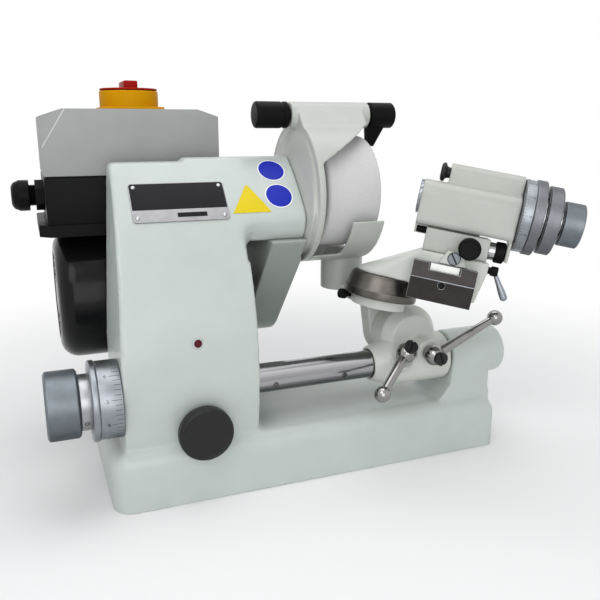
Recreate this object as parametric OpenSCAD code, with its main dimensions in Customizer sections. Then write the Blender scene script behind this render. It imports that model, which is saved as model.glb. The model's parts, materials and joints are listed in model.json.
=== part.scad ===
// Bench grinder for single-lip cutters: cast frame, belt-driven cup wheel,
// swinging work head on a slide bar. Millimetres, +Z up, the origin is the
// middle of the base's underside, +X runs along the slide bar.

/* [Base] */
// Length of the base, left to right
base_len = 351; // [335:1:380]
// Depth of the base, front to back
base_depth = 160; // [150:1:190]
// Height of the base's upright skirt
skirt_h = 36; // [30:1:40]
// Radius of the base's shoulder and of its corners
shoulder_r = 14; // [8:1:16]

/* [Column and overarm] */
// Distance from the base's left end to the column
column_inset = 12; // [8:0.5:20]
// Width of the column
column_w = 109.5; // [100:0.5:112]
// Height of the column's top
column_h = 268; // [262:1:275]
// Radius of the curved front
front_r = 213; // [205:1:225]
// Height at which the curved front stands upright
front_z = 100; // [92:1:108]
// How far the curved front stands behind the base's front
front_set = 3; // [1:0.5:5]
// Distance of the column's rear face behind the spindle's axis
column_rear = 10; // [8:0.5:11]
// Length of the overarm to the right of the column
overarm_len = 56.5; // [54:0.5:62]
// Height of the overarm's underside
overarm_z = 203; // [198:1:208]
// Rise of the overarm's cap above the column's top
cap_rise = 3; // [1:0.5:5]
// Distance from the column's left face to the cap
cap_inset = 71.5; // [40:0.5:80]

/* [Slide bar] */
// Diameter of the slide bar
bar_d = 25; // [22:0.5:26]
// Distance of the bar's axis behind the base's front
bar_set = 28; // [27:0.5:30]
// Height of the bar's axis
bar_z = 88.5; // [86:0.5:91]
// Wall of the bushes that carry the bar
bush_wall = 3.5; // [2.5:0.25:4]
// Diameter of the boss at the bar's right end
boss_d = 45; // [42:0.5:48]
// Length of the boss at the bar's right end
boss_len = 57; // [52:1:60]
// How far the boss stands past the base's right end
boss_over = 14.5; // [12:0.5:17]

/* [Infeed wheel] */
// Diameter of the knurled infeed knob
infeed_d = 54; // [46:1:60]
// Length of the knurled infeed knob
infeed_len = 25; // [20:0.5:30]
// Diameter of the graduated dial
dial_d = 62; // [56:1:68]
// Length of the graduated dial
dial_len = 17; // [13:0.5:20]
// Diameter of the feed screw
screw_d = 12; // [10:0.5:13]
// Diameter of the clamp knob on the front
lock_d = 44; // [38:1:50]
// Thickness of the clamp knob on the front
lock_len = 10; // [8:0.5:14]

/* [Wheel spindle] */
// Diameter of the cup wheel
wheel_d = 100; // [92:1:106]
// Length of the cup wheel
wheel_len = 50; // [44:0.5:51]
// Wall of the cup
wheel_wall = 11; // [8:0.5:14]
// Thickness of the cup's back
wheel_back = 14; // [10:0.5:16]
// Diameter of the wheel's seat on the spindle
seat_d = 20; // [18:0.5:22]
// Diameter of the spindle in its bearings
spindle_d = 15; // [13:0.5:17]
// Distance of the spindle's axis behind the curved front at its height
spindle_set = 38.25; // [36:0.25:41]
// Height of the spindle's axis
spindle_z = 238; // [235:0.5:240]

/* [Bearings and belt] */
// Outer diameter of the ball bearings
bearing_d = 32; // [29:0.5:34]
// Width of the ball bearings
bearing_w = 9; // [7:0.5:11]
// Diameter of the pulley on the wheel spindle
small_pulley_d = 32; // [28:0.5:33]
// Diameter of the pulley on the motor
large_pulley_d = 60; // [56:0.5:64]
// Width of the drive belt
belt_w = 12; // [9:0.5:14]
// Thickness of the drive belt
belt_t = 2.4; // [1.6:0.2:3]

/* [Wheel guard] */
// Room between the wheel and its guard, on the radius
guard_room = 10; // [8:0.5:13]
// Wall of the wheel guard
guard_wall = 3; // [2.5:0.25:4]
// Length of the guard's hood
hood_len = 63; // [60:0.5:66]
// Diameter of the dust spout
spout_d = 40; // [34:1:42]
// Height of the dust spout's lower end
spout_z = 146; // [140:1:152]

/* [Dresser] */
// Diameter of the tube that carries the dresser
tube_d = 23; // [21:0.5:25]
// Height of the tube's axis above the guard
tube_lift = 5.5; // [4.5:0.5:7]
// Length of the dresser's knob
dresser_knob_len = 30; // [26:1:36]
// Length of the dresser's arm along its shaft
dresser_arm_len = 25; // [18:0.5:26]
// Reach of the dresser's arm below its shaft
dresser_reach = 28; // [25:0.5:30]

/* [Motor] */
// Diameter of the motor
motor_d = 114; // [108:1:115]
// Length of the motor's body
motor_len = 106; // [98:1:112]
// Distance of the motor's axis behind the wheel spindle's
motor_set = 71; // [70:0.5:76]
// Height of the motor's axis
motor_z = 145; // [140:0.5:147]
// Diameter of the fan cover
fan_cover_d = 118; // [116:0.5:119]
// Length of the fan cover
fan_cover_len = 52; // [48:1:58]
// Thickness of the plate that carries the motor
motor_plate_t = 8; // [6:0.5:10]

/* [Switch box] */
// Length of the switch box
box_len = 149; // [140:1:156]
// Depth of the switch box
box_depth = 104; // [96:1:110]
// Height of the box's lower half
box_base_h = 49.5; // [44:0.5:56]
// Height of the box's cover
box_cover_h = 55.5; // [48:0.5:60]
// Wall of the switch box
box_wall = 3; // [2:0.25:4]
// Diameter of the main switch
switch_d = 52; // [46:1:56]
// Height of the main switch's collar
switch_h = 14; // [11:0.5:18]
// Diameter of the cable gland's nut
gland_d = 27; // [22:0.5:29]

/* [Swing bracket] */
// Diameter of the bracket's hub
hub_d = 44; // [42:0.5:46]
// Length of the bracket's hub
hub_len = 75; // [70:1:80]
// Diameter of the bracket's pivot boss
pivot_boss_d = 56; // [50:1:57]
// Height of the pivot above the bar
pivot_rise = 21.5; // [20.5:0.5:23]
// Length of the left clamp lever
left_lever_len = 50; // [44:1:54]
// Length of the right clamp lever
right_lever_len = 68; // [60:1:72]

/* [Turntable] */
// Tilt of the turntable to the right, degrees
head_tilt = 12; // [10:0.5:13]
// Turn of the work head to the front, degrees
head_turn = 33; // [28:1:38]
// Diameter of the turntable
table_d = 64.4; // [60:0.2:68]
// Height of the turntable
table_h = 20; // [17:0.5:22]
// Height of the turntable's underside above the bar
table_rise = 62.1; // [61:0.1:64]
// Distance from the hub's middle left to the turntable's axis
table_set = 27.5; // [26:0.5:29]

/* [Work head] */
// Height of the work spindle above the turntable's underside
head_h = 93; // [92:0.5:95]
// Length of the head's housing
housing_len = 78.5; // [76:0.5:82]
// Width of the head's housing
housing_w = 40; // [36:0.5:44]
// Diameter of the work spindle
work_d = 30; // [27:0.5:31]
// Bore of the work spindle
work_bore = 20; // [16:0.5:21]
// Diameter of the index ring's graduated rim
index_d = 61; // [56:0.5:64]
// Diameter of the handwheel ring
hand_d = 57; // [50:0.5:60]
// Diameter of the draw bar's knob
draw_d = 37; // [32:0.5:40]
// Length of the draw bar's knob
draw_len = 17; // [14:0.5:20]
// Diameter of the index plunger's boss
plunger_boss_d = 17; // [15:0.5:18]
// Length of the accessory rail
rail_len = 53; // [46:0.5:56]
// Height of the accessory rail
rail_h = 32; // [28:0.5:33]

/* [Nameplate and signs] */
// Width of the nameplate
plate_w = 78; // [60:1:84]
// Height of the nameplate along the curve
plate_h = 37; // [30:1:40]
// Diameter of the round signs
sign_d = 23; // [18:0.5:24]
// Side of the triangular sign
triangle_side = 33; // [26:0.5:34]

/* [Fits] */
// Running clearance of a shaft in its bore, on the radius
fit = 0.03; // [0.02:0.01:0.06]
// Clearance between pieces that move past each other
gap = 0.5; // [0.4:0.1:0.7]
// Overrun of every cut
over = 1; // [0.5:0.25:2]

/* [Hidden] */
$fn = 64;
blend_fn = 32;

paint = "#c3ccc4";
steel = "#9aa0a6";
bright = "#c8ccd0";
dark_steel = "#4a4542";
black = "#18181a";
bronze = "#a8854a";

// Places along X, from the base's ends
column_x0 = -base_len / 2 + column_inset;
column_x1 = column_x0 + column_w;
overarm_x1 = column_x1 + overarm_len;
cap_x0 = column_x0 + cap_inset;
cap_z = column_h + cap_rise;
boss_x1 = base_len / 2 + boss_over;
boss_x0 = boss_x1 - boss_len;
base_h = skirt_h + shoulder_r;
base_corner_r = 7;
base_left_r = 18;
base_toe = 4;
base_x1 = base_len / 2 + base_toe;

// Curved front: the arc's middle, behind the column
front_y = -base_depth / 2 + front_set;
arc_y = front_y + front_r;
column_edge = 3;
column_lean = 9;
lean_room = 2;
lean_z = bar_z + dial_d / 2 + lean_room;
spindle_y = arc_y - sqrt(pow(front_r, 2) - pow(spindle_z - front_z, 2)) + spindle_set;
column_back = spindle_y + column_rear;
motor_y = spindle_y + motor_set;

// Slide bar and its seats
bar_y = -base_depth / 2 + bar_set;
bush_d = bar_d + 2 * bush_wall;
boss_end_wall = 4;
bar_end_room = 7;
column_bush_len = 50;
bar_x1 = boss_x1 - boss_end_wall - bar_end_room;
bar_left_set = 23.5;
bar_x0 = column_x0 + bar_left_set;
screw_reach = 70;
screw_room = 10;
bar_screw_depth = screw_reach + screw_room;
pedestal_flare = 14;
pedestal_half_w = 20;
pedestal_inset = 5;
pedestal_drop = 2;
pedestal_z = bar_z - hub_d / 2 - pedestal_drop;
pedestal_pad_h = 4;
bar_hole_d = 5;
bar_hole_depth = 6;
bar_hole_shares = [0.16, 0.74];

// Infeed wheel
dial_x1 = column_x0 - gap;
dial_x0 = dial_x1 - dial_len;
ring_len = 5.5;
ring_step = 2;
ring_d = dial_d + ring_step;
neck_len = 8;
neck_step = 10;
neck_d = infeed_d - neck_step;
dial_hub_step = 38;
dial_hub_d = dial_d - dial_hub_step;
ring_x0 = dial_x0 - ring_len;
neck_x0 = ring_x0 - neck_len;
infeed_x0 = neck_x0 - infeed_len;
infeed_chamfer = 2;
screw_head_len = 20;
set_screw_d = 4;
feed_bush_len = 16;

// Front clamp knob
lock_set = 61;
lock_x = column_x0 + lock_set;
lock_rise = 25.5;
lock_z = skirt_h + lock_rise;
lock_y = -base_depth / 2 - gap;
lock_stud_d = 12;
lock_stud_len = 26;
lock_dish = 1.5;

// Wheel spindle, from left to right
rear_bearing_set = 36;
rear_bearing_x = column_x1 - rear_bearing_set;
guard_d = wheel_d + 2 * (guard_room + guard_wall);
guard_foot_step = 14;
guard_foot_d = guard_d - guard_foot_step;
guard_face_len = 6.5;
guard_x0 = overarm_x1 + guard_face_len;
guard_hub_len = 11;
guard_hub_d = 44;
guard_lip = 1;
web_rise = 18;
web_d = 88;
guard_hub_x1 = guard_x0 + guard_hub_len;
bearing_lip = 1;
front_bearing_x = guard_hub_x1 - bearing_w - bearing_lip;
flange_d = 34;
flange_len = 2.5;
wheel_x0 = guard_hub_x1 + gap + flange_len;
wheel_x1 = wheel_x0 + wheel_len;
spindle_x0 = rear_bearing_x;
thread_d = 16;
nut_len = 12;
nut_d = 30;
nut_flange_d = 36;
nut_flange_len = 4;
rim_chamfer = 2;
bore_clear = 1.5;

// Belt drive
slot_side = 2;
pulley_lip = 2;
pulley_lip_t = 2;
belt_room = 1;
pulley_w = belt_w + 2 * pulley_lip_t + belt_room;
pulley_set = 9.5;
pulley_x0 = overarm_x1 - pulley_set - pulley_w;
belt_x0 = pulley_x0 + (pulley_w - belt_w) / 2;
slot_x0 = pulley_x0 - slot_side;
slot_x1 = pulley_x0 + pulley_w + slot_side;
slot_r = small_pulley_d / 2 + belt_t + pulley_lip;
belt_gap = 0.3;
belt_dy = motor_y - spindle_y;
belt_dz = motor_z - spindle_z;
belt_run = norm([belt_dy, belt_dz]);
belt_lean = asin((large_pulley_d - small_pulley_d) / 2 / belt_run);
belt_slope = atan2(belt_dz, belt_dy);

// Belt guard
belt_guard_wall = 2.5;
belt_guard_side = 3;
belt_guard_x0 = slot_x0 - belt_guard_side;
belt_guard_lap = 2;
belt_guard_x1 = overarm_x1 + belt_guard_lap;
belt_guard_room = 22;
belt_guard_r = large_pulley_d / 2 + belt_guard_room;
belt_guard_nose_r = 4;
belt_guard_front = 46;
belt_guard_front_y = spindle_y - belt_guard_front;
belt_guard_crown = 20;
shaft_window_d = 44;

// Wheel guard
hood_x1 = guard_x0 + hood_len;
window_top_share = 0.46;
window_slope = 29;
window_low_share = 0.34;
window_set = 6;
window_x0 = guard_x0 + window_set;
tube_rise = guard_d / 2 + tube_lift;
tube_set = 1.5;
tube_x0 = overarm_x1 + tube_set;
tube_over = 8;
tube_x1 = hood_x1 + tube_over;
tube_walls = 9;
tube_bore = tube_d - tube_walls;
spout_set = 50;
spout_x = guard_x0 + spout_set;
spout_wall = 2;
chute_set = 33;
chute_x0 = guard_x0 + chute_set;
tray_share = 0.85;
spout_back = 2;
spout_y = spindle_y + spout_back;

// Dresser
sleeve_wall = 2.5;
shaft_d = tube_bore - 2 * sleeve_wall;
dresser_room = 1.6;
dresser_knob_x1 = tube_x0 - dresser_room;
dresser_knob_x0 = dresser_knob_x1 - dresser_knob_len;
dresser_groove_set = 6;
dresser_groove_x = dresser_knob_x1 - dresser_groove_set;
dresser_groove_w = 2;
dresser_groove_t = 1;
dresser_arm_x0 = tube_x1 + dresser_room;
diamond_d = 5;
diamond_rest = 2.5;
finger_d = 7;

// Motor
motor_x1 = column_x1;
motor_x0 = motor_x1 - motor_len;
motor_shield = 13;
rotor_d = 56;
air_gap = 0.5;
shaft_tail = 22;
fan_d = 96;
fan_len = 16;
fan_hub_d = 26;
fan_blades = 8;
fan_blade_t = 3;
fan_cover_wall = 2;
fan_cover_lap = 12;
fan_cover_round = 16;
grille_slots = 10;
grille_slot_w = 4;
grille_hub_d = 28;
plate_reach = 40;
plate_half_h = 45;
plate_low_z = motor_z - plate_half_h;
plate_high_z = motor_z + plate_half_h;
spacer_d = 12;
spacer_shares = [[-0.42, -0.62], [0.3, 0.75]];

// Switch box
box_x1 = column_x1 - gap;
box_x0 = box_x1 - box_len;
box_y0 = motor_y - box_depth / 2;
box_rise = 4;
box_z = motor_z + motor_d / 2 + box_rise;
box_foot_h = 7.5;
box_foot_over = 2;
box_foot_left = 7;
box_foot_cut = 9;
cover_bevel_w = 18;
cover_bevel_h = 6;
cover_z = box_z + box_base_h;
cover_top = cover_z + box_cover_h;
saddle_w = 60;
saddle_d = 70;
switch_set = 80;
switch_x = box_x0 + switch_set;
switch_back = 1;
switch_y = motor_y + switch_back;
switch_plate_t = 2.5;
switch_plate_step = 2;
switch_plate_w = switch_d + switch_plate_step;
switch_body_z = cover_top + switch_plate_t;
handle_disc_t = 1.5;
disc_step = 1;
handle_w = 12;
handle_h = 7;
handle_step = 18;
handle_len = switch_d - handle_step;
handle_stem_d = 10;
handle_stem_len = 10;
gland_share = 0.63;
gland_z = box_z + box_base_h * gland_share;
gland_hex_len = 7;
gland_neck_len = 5;
gland_neck_step = 6;
gland_neck_d = gland_d - gland_neck_step;
gland_nut_len = 15;
gland_bore_d = 9;

// Nameplate, signs and lens on the curved front
skin_t = 0.6;
plate_set = 59.5;
plate_x = column_x0 + plate_set;
plate_rise = 35;
plate_z = overarm_z + plate_rise;
screw_inset = 4;
plate_screw_d = 3;
plate_screw_h = 0.8;
sign_set = 21;
sign_x = overarm_x1 - sign_set;
sign_rises = [36.5, 56.5];
sign_zs = [overarm_z + sign_rises[0], overarm_z + sign_rises[1]];
triangle_set = 9;
triangle_x = column_x1 + triangle_set;
triangle_rise = 32;
triangle_z = overarm_z + triangle_rise;
lens_set = 59.5;
lens_x = column_x0 + lens_set;
lens_z = 132.7;
lens_d = 6;
lens_depth = 5;
lens_h = 2;

// Swing bracket
hub_gap = 2;
hub_x1 = boss_x0 - hub_gap;
hub_x0 = hub_x1 - hub_len;
hub_mid = (hub_x0 + hub_x1) / 2;
hub_cone_len = 20;
hub_taper = 13;
bracket_bush_d = bar_d + 2 * bush_wall;
bush_set = 10;
pivot_set = 4.5;
pivot_x = hub_mid + pivot_set;
pivot_z = bar_z + pivot_rise;
pivot_y1 = bar_y + hub_d / 2 + gap;
pivot_boss_len = 30;
pivot_cone_len = 10;
pivot_taper = 14;
pivot_pin_d = 12;
pivot_pin_len = 10;

// Clamp levers: the right one turns about Y, the left one about a raised axis
ball_d = 18;
lever_ball_d = 14;
rod_d = 8;
rod_taper = 1;
stud_d = 8;
stud_head_d = 12;
stud_head_h = 3.5;
stud_slot = 1.4;
pad_d = 22;
stud_sink = 4;
right_lever_set = 10.5;
right_lever_x = hub_mid + right_lever_set;
right_lever_rise = 12.5;
right_lever_z = bar_z + right_lever_rise;
right_pad_reach = 24.5;
right_pad_y = bar_y - right_pad_reach;
right_lever_y = right_pad_y - ball_d / 2 - gap;
right_lever_angle = 24.3;
left_lever_set = 13.5;
left_lever_x = hub_mid - left_lever_set;
left_axis_angle = 45;
left_axis_rise = -8;
left_pad_reach = 20.5;
left_lever_angle = 224;

// Swivel post and turntable
table_x = hub_mid - table_set;
table_z = bar_z + table_rise;
post_t = 17;
post_gap = 0.3;
post_y0 = pivot_y1 + post_gap;
slab_t = 9;
slab_r = 24;
slab_back = post_y0 + post_t - bar_y;
slab_w = 44;
post_u0 = 1;
table_pin_d = 16;
table_pin_len = 7;
table_band = 7;
table_step = 1;
table_top_step = 10;
table_top_d = table_d - table_top_step;
table_knob_d = 9;
table_knob_len = 9;
table_knob_stem_d = 4;
table_knob_sink = 8;
table_knob_v = 14;

// Work head, in its own frame: u along the spindle, v to the back, w up
nose_u = 14.5;
nose_step = 2;
nose_d = work_d - nose_step;
nose_len = 2.7;
housing_u0 = nose_u + nose_len;
housing_u1 = housing_u0 + housing_len;
housing_drop = 23;
housing_w0 = head_h - housing_drop;
housing_crown = 15;
housing_w1 = head_h + housing_crown;
housing_round = 12;
housing_low_round = 4;
lug_t = 2.8;
lug_half_w = 9;
lug_drop = 41;
lug_w0 = head_h - lug_drop;
plunger_w = housing_w1 + plunger_boss_d / 2;
plunger_boss_set = 19.5;
plunger_boss_u0 = housing_u0 + plunger_boss_set;
plunger_rod_d = 8;
plunger_knob_d = 16;
plunger_knob_len = 8.3;
plunger_neck_d = 9;
plunger_neck_len = 4;
plunger_free = 0.7;
index_u0 = housing_u1 + lug_t + gap;
index_rim_len = 8.7;
index_knurl_len = 8.5;
index_knurl_step = 2;
index_knurl_d = index_d + index_knurl_step;
tail_d = 24;
hand_neck_len = 2.5;
hand_neck_d = 38;
hand_len = 11.5;
hand_u0 = index_u0 + index_rim_len + index_knurl_len;
hand_u1 = hand_u0 + hand_neck_len + hand_len;
draw_neck_len = 3;
draw_neck_d = 22;
draw_bore = 12;
draw_tube_step = 2;
draw_tube_d = work_bore - draw_tube_step;
collet_depth = 30;
ring_chamfer = 1.2;

arm_half_w = 24;
arm_u1 = 84;
arm_drop = 44;
arm_top_w = head_h - arm_drop;
arm_crown_u = 28;
arm_crown_t = 9;
arm_low_u0 = 55;
arm_low_u1 = 79;
arm_low_w = 14;
arm_low_t = 8;
arm_cap_t = 3;
arm_cap_r = arm_half_w;
carriage_u0 = 27.5;
carriage_u1 = 81.5;
carriage_half_w = 17;
carriage_gap = 1.5;
carriage_top_w = housing_w0 - carriage_gap;
key_half_w = 8;
key_h = 8;
key_w = housing_w0 - key_h;
key_inset = 10;
key_u1 = carriage_u1 - key_inset;
rail_u0 = 23;
rail_w0 = 9;
rail_back_v = -arm_half_w;
rail_t = 9;
rail_edge_v = rail_back_v - rail_t;
ridge_t = 13;
rail_ridge_v = rail_back_v - ridge_t;
rail_ridge_share = 0.58;
notch_inset = 13.5;
notch_depth = 6;
rail_hole_d = 6.5;
rail_hole_depth = 8;
rail_hole_share = 0.47;
scale_t = 1;
scale_set = 4;
pointer_u = 55;
pointer_gap = 0.5;
pointer_w0 = rail_w0 + rail_h + pointer_gap;
pointer_h = 11.5;
pointer_foot = 24;
pointer_top = 13;
pointer_t = 2;
pointer_screw_d = 9.6;
pointer_screw_h = 2;
feed_u = 65;
feed_drop = 35;
feed_w = head_h - feed_drop;
feed_knob_d = 18.4;
feed_knob_len = 11;
feed_shaft_d = 6;
feed_shaft_len = 12;
barrel_d = 15;
barrel_len = 5.5;
barrel_v = -7.5;
barrel_drop = 34;
barrel_w = head_h - barrel_drop;
stop_nut_d = 18;
stop_nut_len = 8.2;
stop_stem_d = 6;
clip_w = 43;
clip_v = -13;
clip_pin_d = 6;
clip_pin_len = 6;
clip_sink = 8;
clip_hub_d = 8;
clip_hub_len = 6;
clip_len = 24;
clip_lean = 32;
clip_tip_d = 5;
clip_root_d = 3.6;

// A cylinder along +X, from x0, about the axis y, z
module along_x(x0, y, z, len, d, d2 = undef) {
    translate([x0, y, z])
    rotate([0, 90, 0])
    cylinder(h = len, d1 = d, d2 = is_undef(d2) ? d : d2);
}

// A cylinder along +Y, from y0, about the axis x, z
module along_y(x, y0, z, len, d, d2 = undef) {
    translate([x, y0, z])
    rotate([-90, 0, 0])
    cylinder(h = len, d1 = d, d2 = is_undef(d2) ? d : d2);
}

// A ring along +X
module ring_x(x0, y, z, len, d, bore) {
    difference() {
        along_x(x0, y, z, len, d);
        along_x(x0 - over, y, z, len + 2 * over, bore);
    }
}

// A knurled grip along +X, chamfered at both ends
module grip_x(x0, y, z, len, d, chamfer) {
    along_x(x0, y, z, chamfer, d - 2 * chamfer, d);
    along_x(x0 + chamfer, y, z, len - 2 * chamfer, d);
    along_x(x0 + len - chamfer, y, z, chamfer, d, d - 2 * chamfer);
}

// The space between two corners
module block(low, high) {
    translate(low) cube(high - low);
}

// A rectangle with four rounded corners
module rounded_rect(low, high, r) {
    translate([low.x + r, low.y]) square([high.x - low.x - 2 * r, high.y - low.y]);
    translate([low.x, low.y + r]) square([high.x - low.x, high.y - low.y - 2 * r]);
    for (x = [low.x + r, high.x - r], y = [low.y + r, high.y - r])
        translate([x, y]) circle(r);
}

// Puts its children on the curved front, their z outwards
module on_front(x, z) {
    lean = asin((z - front_z) / front_r);
    translate([x, arc_y - front_r * cos(lean), front_z + front_r * sin(lean)])
    rotate([90 - lean, 0, 0])
    children();
}

// A thin skin over the curved front, of the outline that its children give
module front_skin(x, z, t) {
    intersection() {
        on_front(x, z)
        translate([0, 0, -front_set - over])
        linear_extrude(2 * front_set + 2 * over)
        children();
        difference() {
            along_x(column_x0, arc_y, front_z, overarm_x1 - column_x0, 2 * (front_r + t));
            along_x(column_x0 - over, arc_y, front_z, overarm_x1 - column_x0 + 2 * over, 2 * front_r);
        }
    }
}

// The frame of the tilted turntable, its origin on the underside
module on_table() {
    translate([table_x, bar_y, table_z])
    rotate([0, head_tilt, 0])
    children();
}

// The work head's frame
module in_head() {
    on_table()
    rotate([0, 0, -head_turn])
    children();
}

// The left lever's frame: z along its stud, x to the right
module at_left_lever() {
    translate([left_lever_x, bar_y, bar_z])
    rotate([left_axis_angle, 0, 0])
    translate([0, left_axis_rise, 0])
    children();
}

// A ball lever in its own frame: it turns about z and points along x
module ball_lever(len) {
    difference() {
        union() {
            sphere(d = ball_d);
            rotate([0, 90, 0]) cylinder(h = len, d1 = rod_d + rod_taper, d2 = rod_d - rod_taper);
            translate([len, 0, 0]) sphere(d = lever_ball_d);
        }
        cylinder(h = 2 * ball_d, d = stud_d + 2 * fit, center = true);
    }
}

// A stud in a lever's frame, its slotted head outside the ball
module clamp_stud() {
    head_z = ball_d / 2;
    difference() {
        union() {
            translate([0, 0, -ball_d / 2 - gap - stud_sink])
            cylinder(h = ball_d / 2 + gap + stud_sink + head_z + over, d = stud_d);
            translate([0, 0, head_z]) cylinder(h = stud_head_h, d = stud_head_d);
        }
        translate([0, 0, head_z + stud_head_h])
        cube([2 * stud_head_d, stud_slot, stud_head_h], center = true);
    }
}

// The front view of column and overarm, in x and z
module frame_outline() {
    lean_x = column_x0 + column_lean;
    polygon([[column_x0, skirt_h / 2], [column_x1, skirt_h / 2], [column_x1, column_h],
        [lean_x + column_edge, column_h], [lean_x, column_h - column_edge], [column_x0, lean_z]]);
    translate([cap_x0, overarm_z]) square([overarm_x1 - cap_x0, cap_z - overarm_z]);
}

// The side profile of column and overarm, in y and z
module frame_profile() {
    intersection() {
        translate([arc_y, front_z]) circle(front_r, $fn = 180);
        translate([front_y, 0]) square([column_back - front_y, cap_z]);
    }
}

// The end boss's foot, flared to the left and to the back
module pedestal() {
    foot_z = base_h - pedestal_pad_h;
    side = base_x1 - pedestal_inset;
    rear = bar_y + pedestal_half_w;
    intersection() {
        translate([0, base_depth / 2, 0])
        rotate([90, 0, 0])
        linear_extrude(base_depth)
        polygon([[boss_x0 - pedestal_flare, foot_z], [base_x1 - pedestal_inset / 2, foot_z],
            [side, pedestal_z],
            [side, bar_z], [boss_x0, bar_z], [boss_x0, pedestal_z]]);
        rotate([90, 0, 90])
        linear_extrude(base_len)
        polygon([[bar_y - pedestal_half_w, foot_z], [rear + pedestal_flare, foot_z], [rear, pedestal_z],
            [rear, bar_z], [bar_y - pedestal_half_w, bar_z]]);
    }
}

// Puts its children at two corners of the base, inset: end -1 is the left, 1 the right
module at_corners(inset, end) {
    x = end < 0 ? inset - base_len / 2 : base_x1 - inset;
    for (y = [inset - base_depth / 2, base_depth / 2 - inset])
        translate([x, y, 0]) children();
}

module base_casting() color(paint) {
    difference() {
        union() {
            hull() {
                at_corners(base_left_r, -1) cylinder(h = skirt_h, r = base_left_r, $fn = blend_fn);
                at_corners(base_corner_r, 1) cylinder(h = skirt_h, r = base_corner_r, $fn = blend_fn);
                for (end = [-1, 1])
                    at_corners(shoulder_r, end)
                    translate([0, 0, skirt_h])
                    sphere(shoulder_r, $fn = blend_fn);
            }
            intersection() {
                translate([0, column_back, 0])
                rotate([90, 0, 0])
                linear_extrude(column_back - front_y)
                frame_outline();
                translate([column_x0, 0, 0])
                rotate([90, 0, 90])
                linear_extrude(overarm_x1 - column_x0)
                frame_profile();
            }
            along_x(boss_x0, bar_y, bar_z, boss_len, boss_d);
            pedestal();
        }
        along_x(column_x0 - over, bar_y, bar_z, column_w + 2 * over, bush_d);
        along_x(boss_x0 - over, bar_y, bar_z, boss_len - boss_end_wall + over, bush_d);
        along_x(rear_bearing_x, spindle_y, spindle_z, overarm_x1 - rear_bearing_x + over, bearing_d);
        along_x(slot_x0, spindle_y, spindle_z, slot_x1 - slot_x0, 2 * slot_r);
        block([slot_x0, spindle_y - slot_r, overarm_z - over],
            [slot_x1, column_back + over, spindle_z]);
        block([slot_x0, spindle_y, spindle_z - over],
            [slot_x1, column_back + over, spindle_z + slot_r]);
        along_y(lock_x, front_y - front_set - over, lock_z, lock_stud_len, lock_stud_d + 2 * fit);
        on_front(lens_x, lens_z)
        translate([0, 0, -lens_depth])
        cylinder(h = lens_depth + over, d = lens_d);
    }
}

// The overarm's end, in y and z
module overarm_end() {
    intersection() {
        frame_profile();
        translate([front_y, overarm_z]) square([column_back - front_y, cap_z - overarm_z]);
    }
}

// The guard's neck, back plate and hood, open at the front and below
module guard_shell() {
    window_top = spindle_z + guard_d / 2 * window_top_share;
    window_low = spindle_z - guard_d / 2 * window_low_share;
    difference() {
        union() {
            hull() {
                translate([overarm_x1, 0, 0])
                rotate([90, 0, 90])
                linear_extrude(guard_lip)
                overarm_end();
                along_x(guard_x0 - guard_lip, spindle_y, spindle_z, guard_lip, guard_foot_d);
            }
            along_x(guard_x0, spindle_y, spindle_z, hood_len, guard_d);
            hull() {
                along_x(guard_x0, spindle_y, spindle_z + tube_rise, hood_len, tube_d, $fn = blend_fn);
                along_x(guard_x0, spindle_y, spindle_z + web_rise, hood_len, web_d, $fn = blend_fn * 2);
            }
        }
        along_x(window_x0, spindle_y, spindle_z, hood_len + over, guard_d - 2 * guard_wall);
        difference() {
            block([window_x0, spindle_y - guard_d, spindle_z - guard_d],
                [hood_x1 + over, spindle_y + guard_d / 2 * window_low_share, spindle_z + guard_d / 2]);
            translate([window_x0, spindle_y - guard_d, window_top])
            rotate([0, -window_slope, 0])
            cube([2 * hood_len, 2 * guard_d, guard_d]);
        }
        block([window_x0, spindle_y - guard_d, spindle_z - guard_d],
            [hood_x1 + over, spindle_y + guard_d, window_low]);
    }
}

module wheel_guard() color(paint) {
    difference() {
        union() {
            guard_shell();
            along_x(guard_x0, spindle_y, spindle_z, guard_hub_len, guard_hub_d);
            along_x(tube_x0, spindle_y, spindle_z + tube_rise, tube_x1 - tube_x0, tube_d);
        }
        along_x(front_bearing_x, spindle_y, spindle_z, bearing_w + guard_hub_len, bearing_d);
        along_x(overarm_x1 - over, spindle_y, spindle_z, guard_hub_x1 - overarm_x1,
            spindle_d + 2 * bore_clear);
        along_x(tube_x0 - over, spindle_y, spindle_z + tube_rise, tube_x1 - tube_x0 + 2 * over, tube_bore);
    }
}

module dust_chute() color(paint) {
    inner_d = guard_d - 2 * guard_wall;
    chute_top = spindle_z - guard_d / 2 * window_low_share;
    spout_top = spindle_z - guard_d / 2 + spout_d / 4;
    difference() {
        union() {
            intersection() {
                along_x(window_x0, spindle_y, spindle_z, hood_x1 - window_x0, guard_d);
                union() {
                    block([chute_x0, spindle_y - guard_d, spindle_z - guard_d],
                        [hood_x1, spindle_y + guard_d, chute_top]);
                    block([window_x0, spindle_y - guard_d, spindle_z - guard_d],
                        [chute_x0 + over, spindle_y + guard_d, spindle_z - guard_d / 2 * tray_share]);
                }
            }
            translate([spout_x, spout_y, spout_z])
            cylinder(h = spout_top - spout_z, d = spout_d);
        }
        along_x(window_x0 - over, spindle_y, spindle_z, hood_x1 - window_x0 + 2 * over, inner_d);
        translate([spout_x, spout_y, spout_z - over])
        cylinder(h = spindle_z - spout_z, d = spout_d - 2 * spout_wall);
    }
}

module ball_bearings() color(steel) {
    for (x = [rear_bearing_x, front_bearing_x])
        ring_x(x, spindle_y, spindle_z, bearing_w, bearing_d, spindle_d + 2 * fit);
    for (x = [motor_x0, motor_x1 - bearing_w])
        ring_x(x, motor_y, motor_z, bearing_w, bearing_d, spindle_d + 2 * fit);
}

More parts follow.
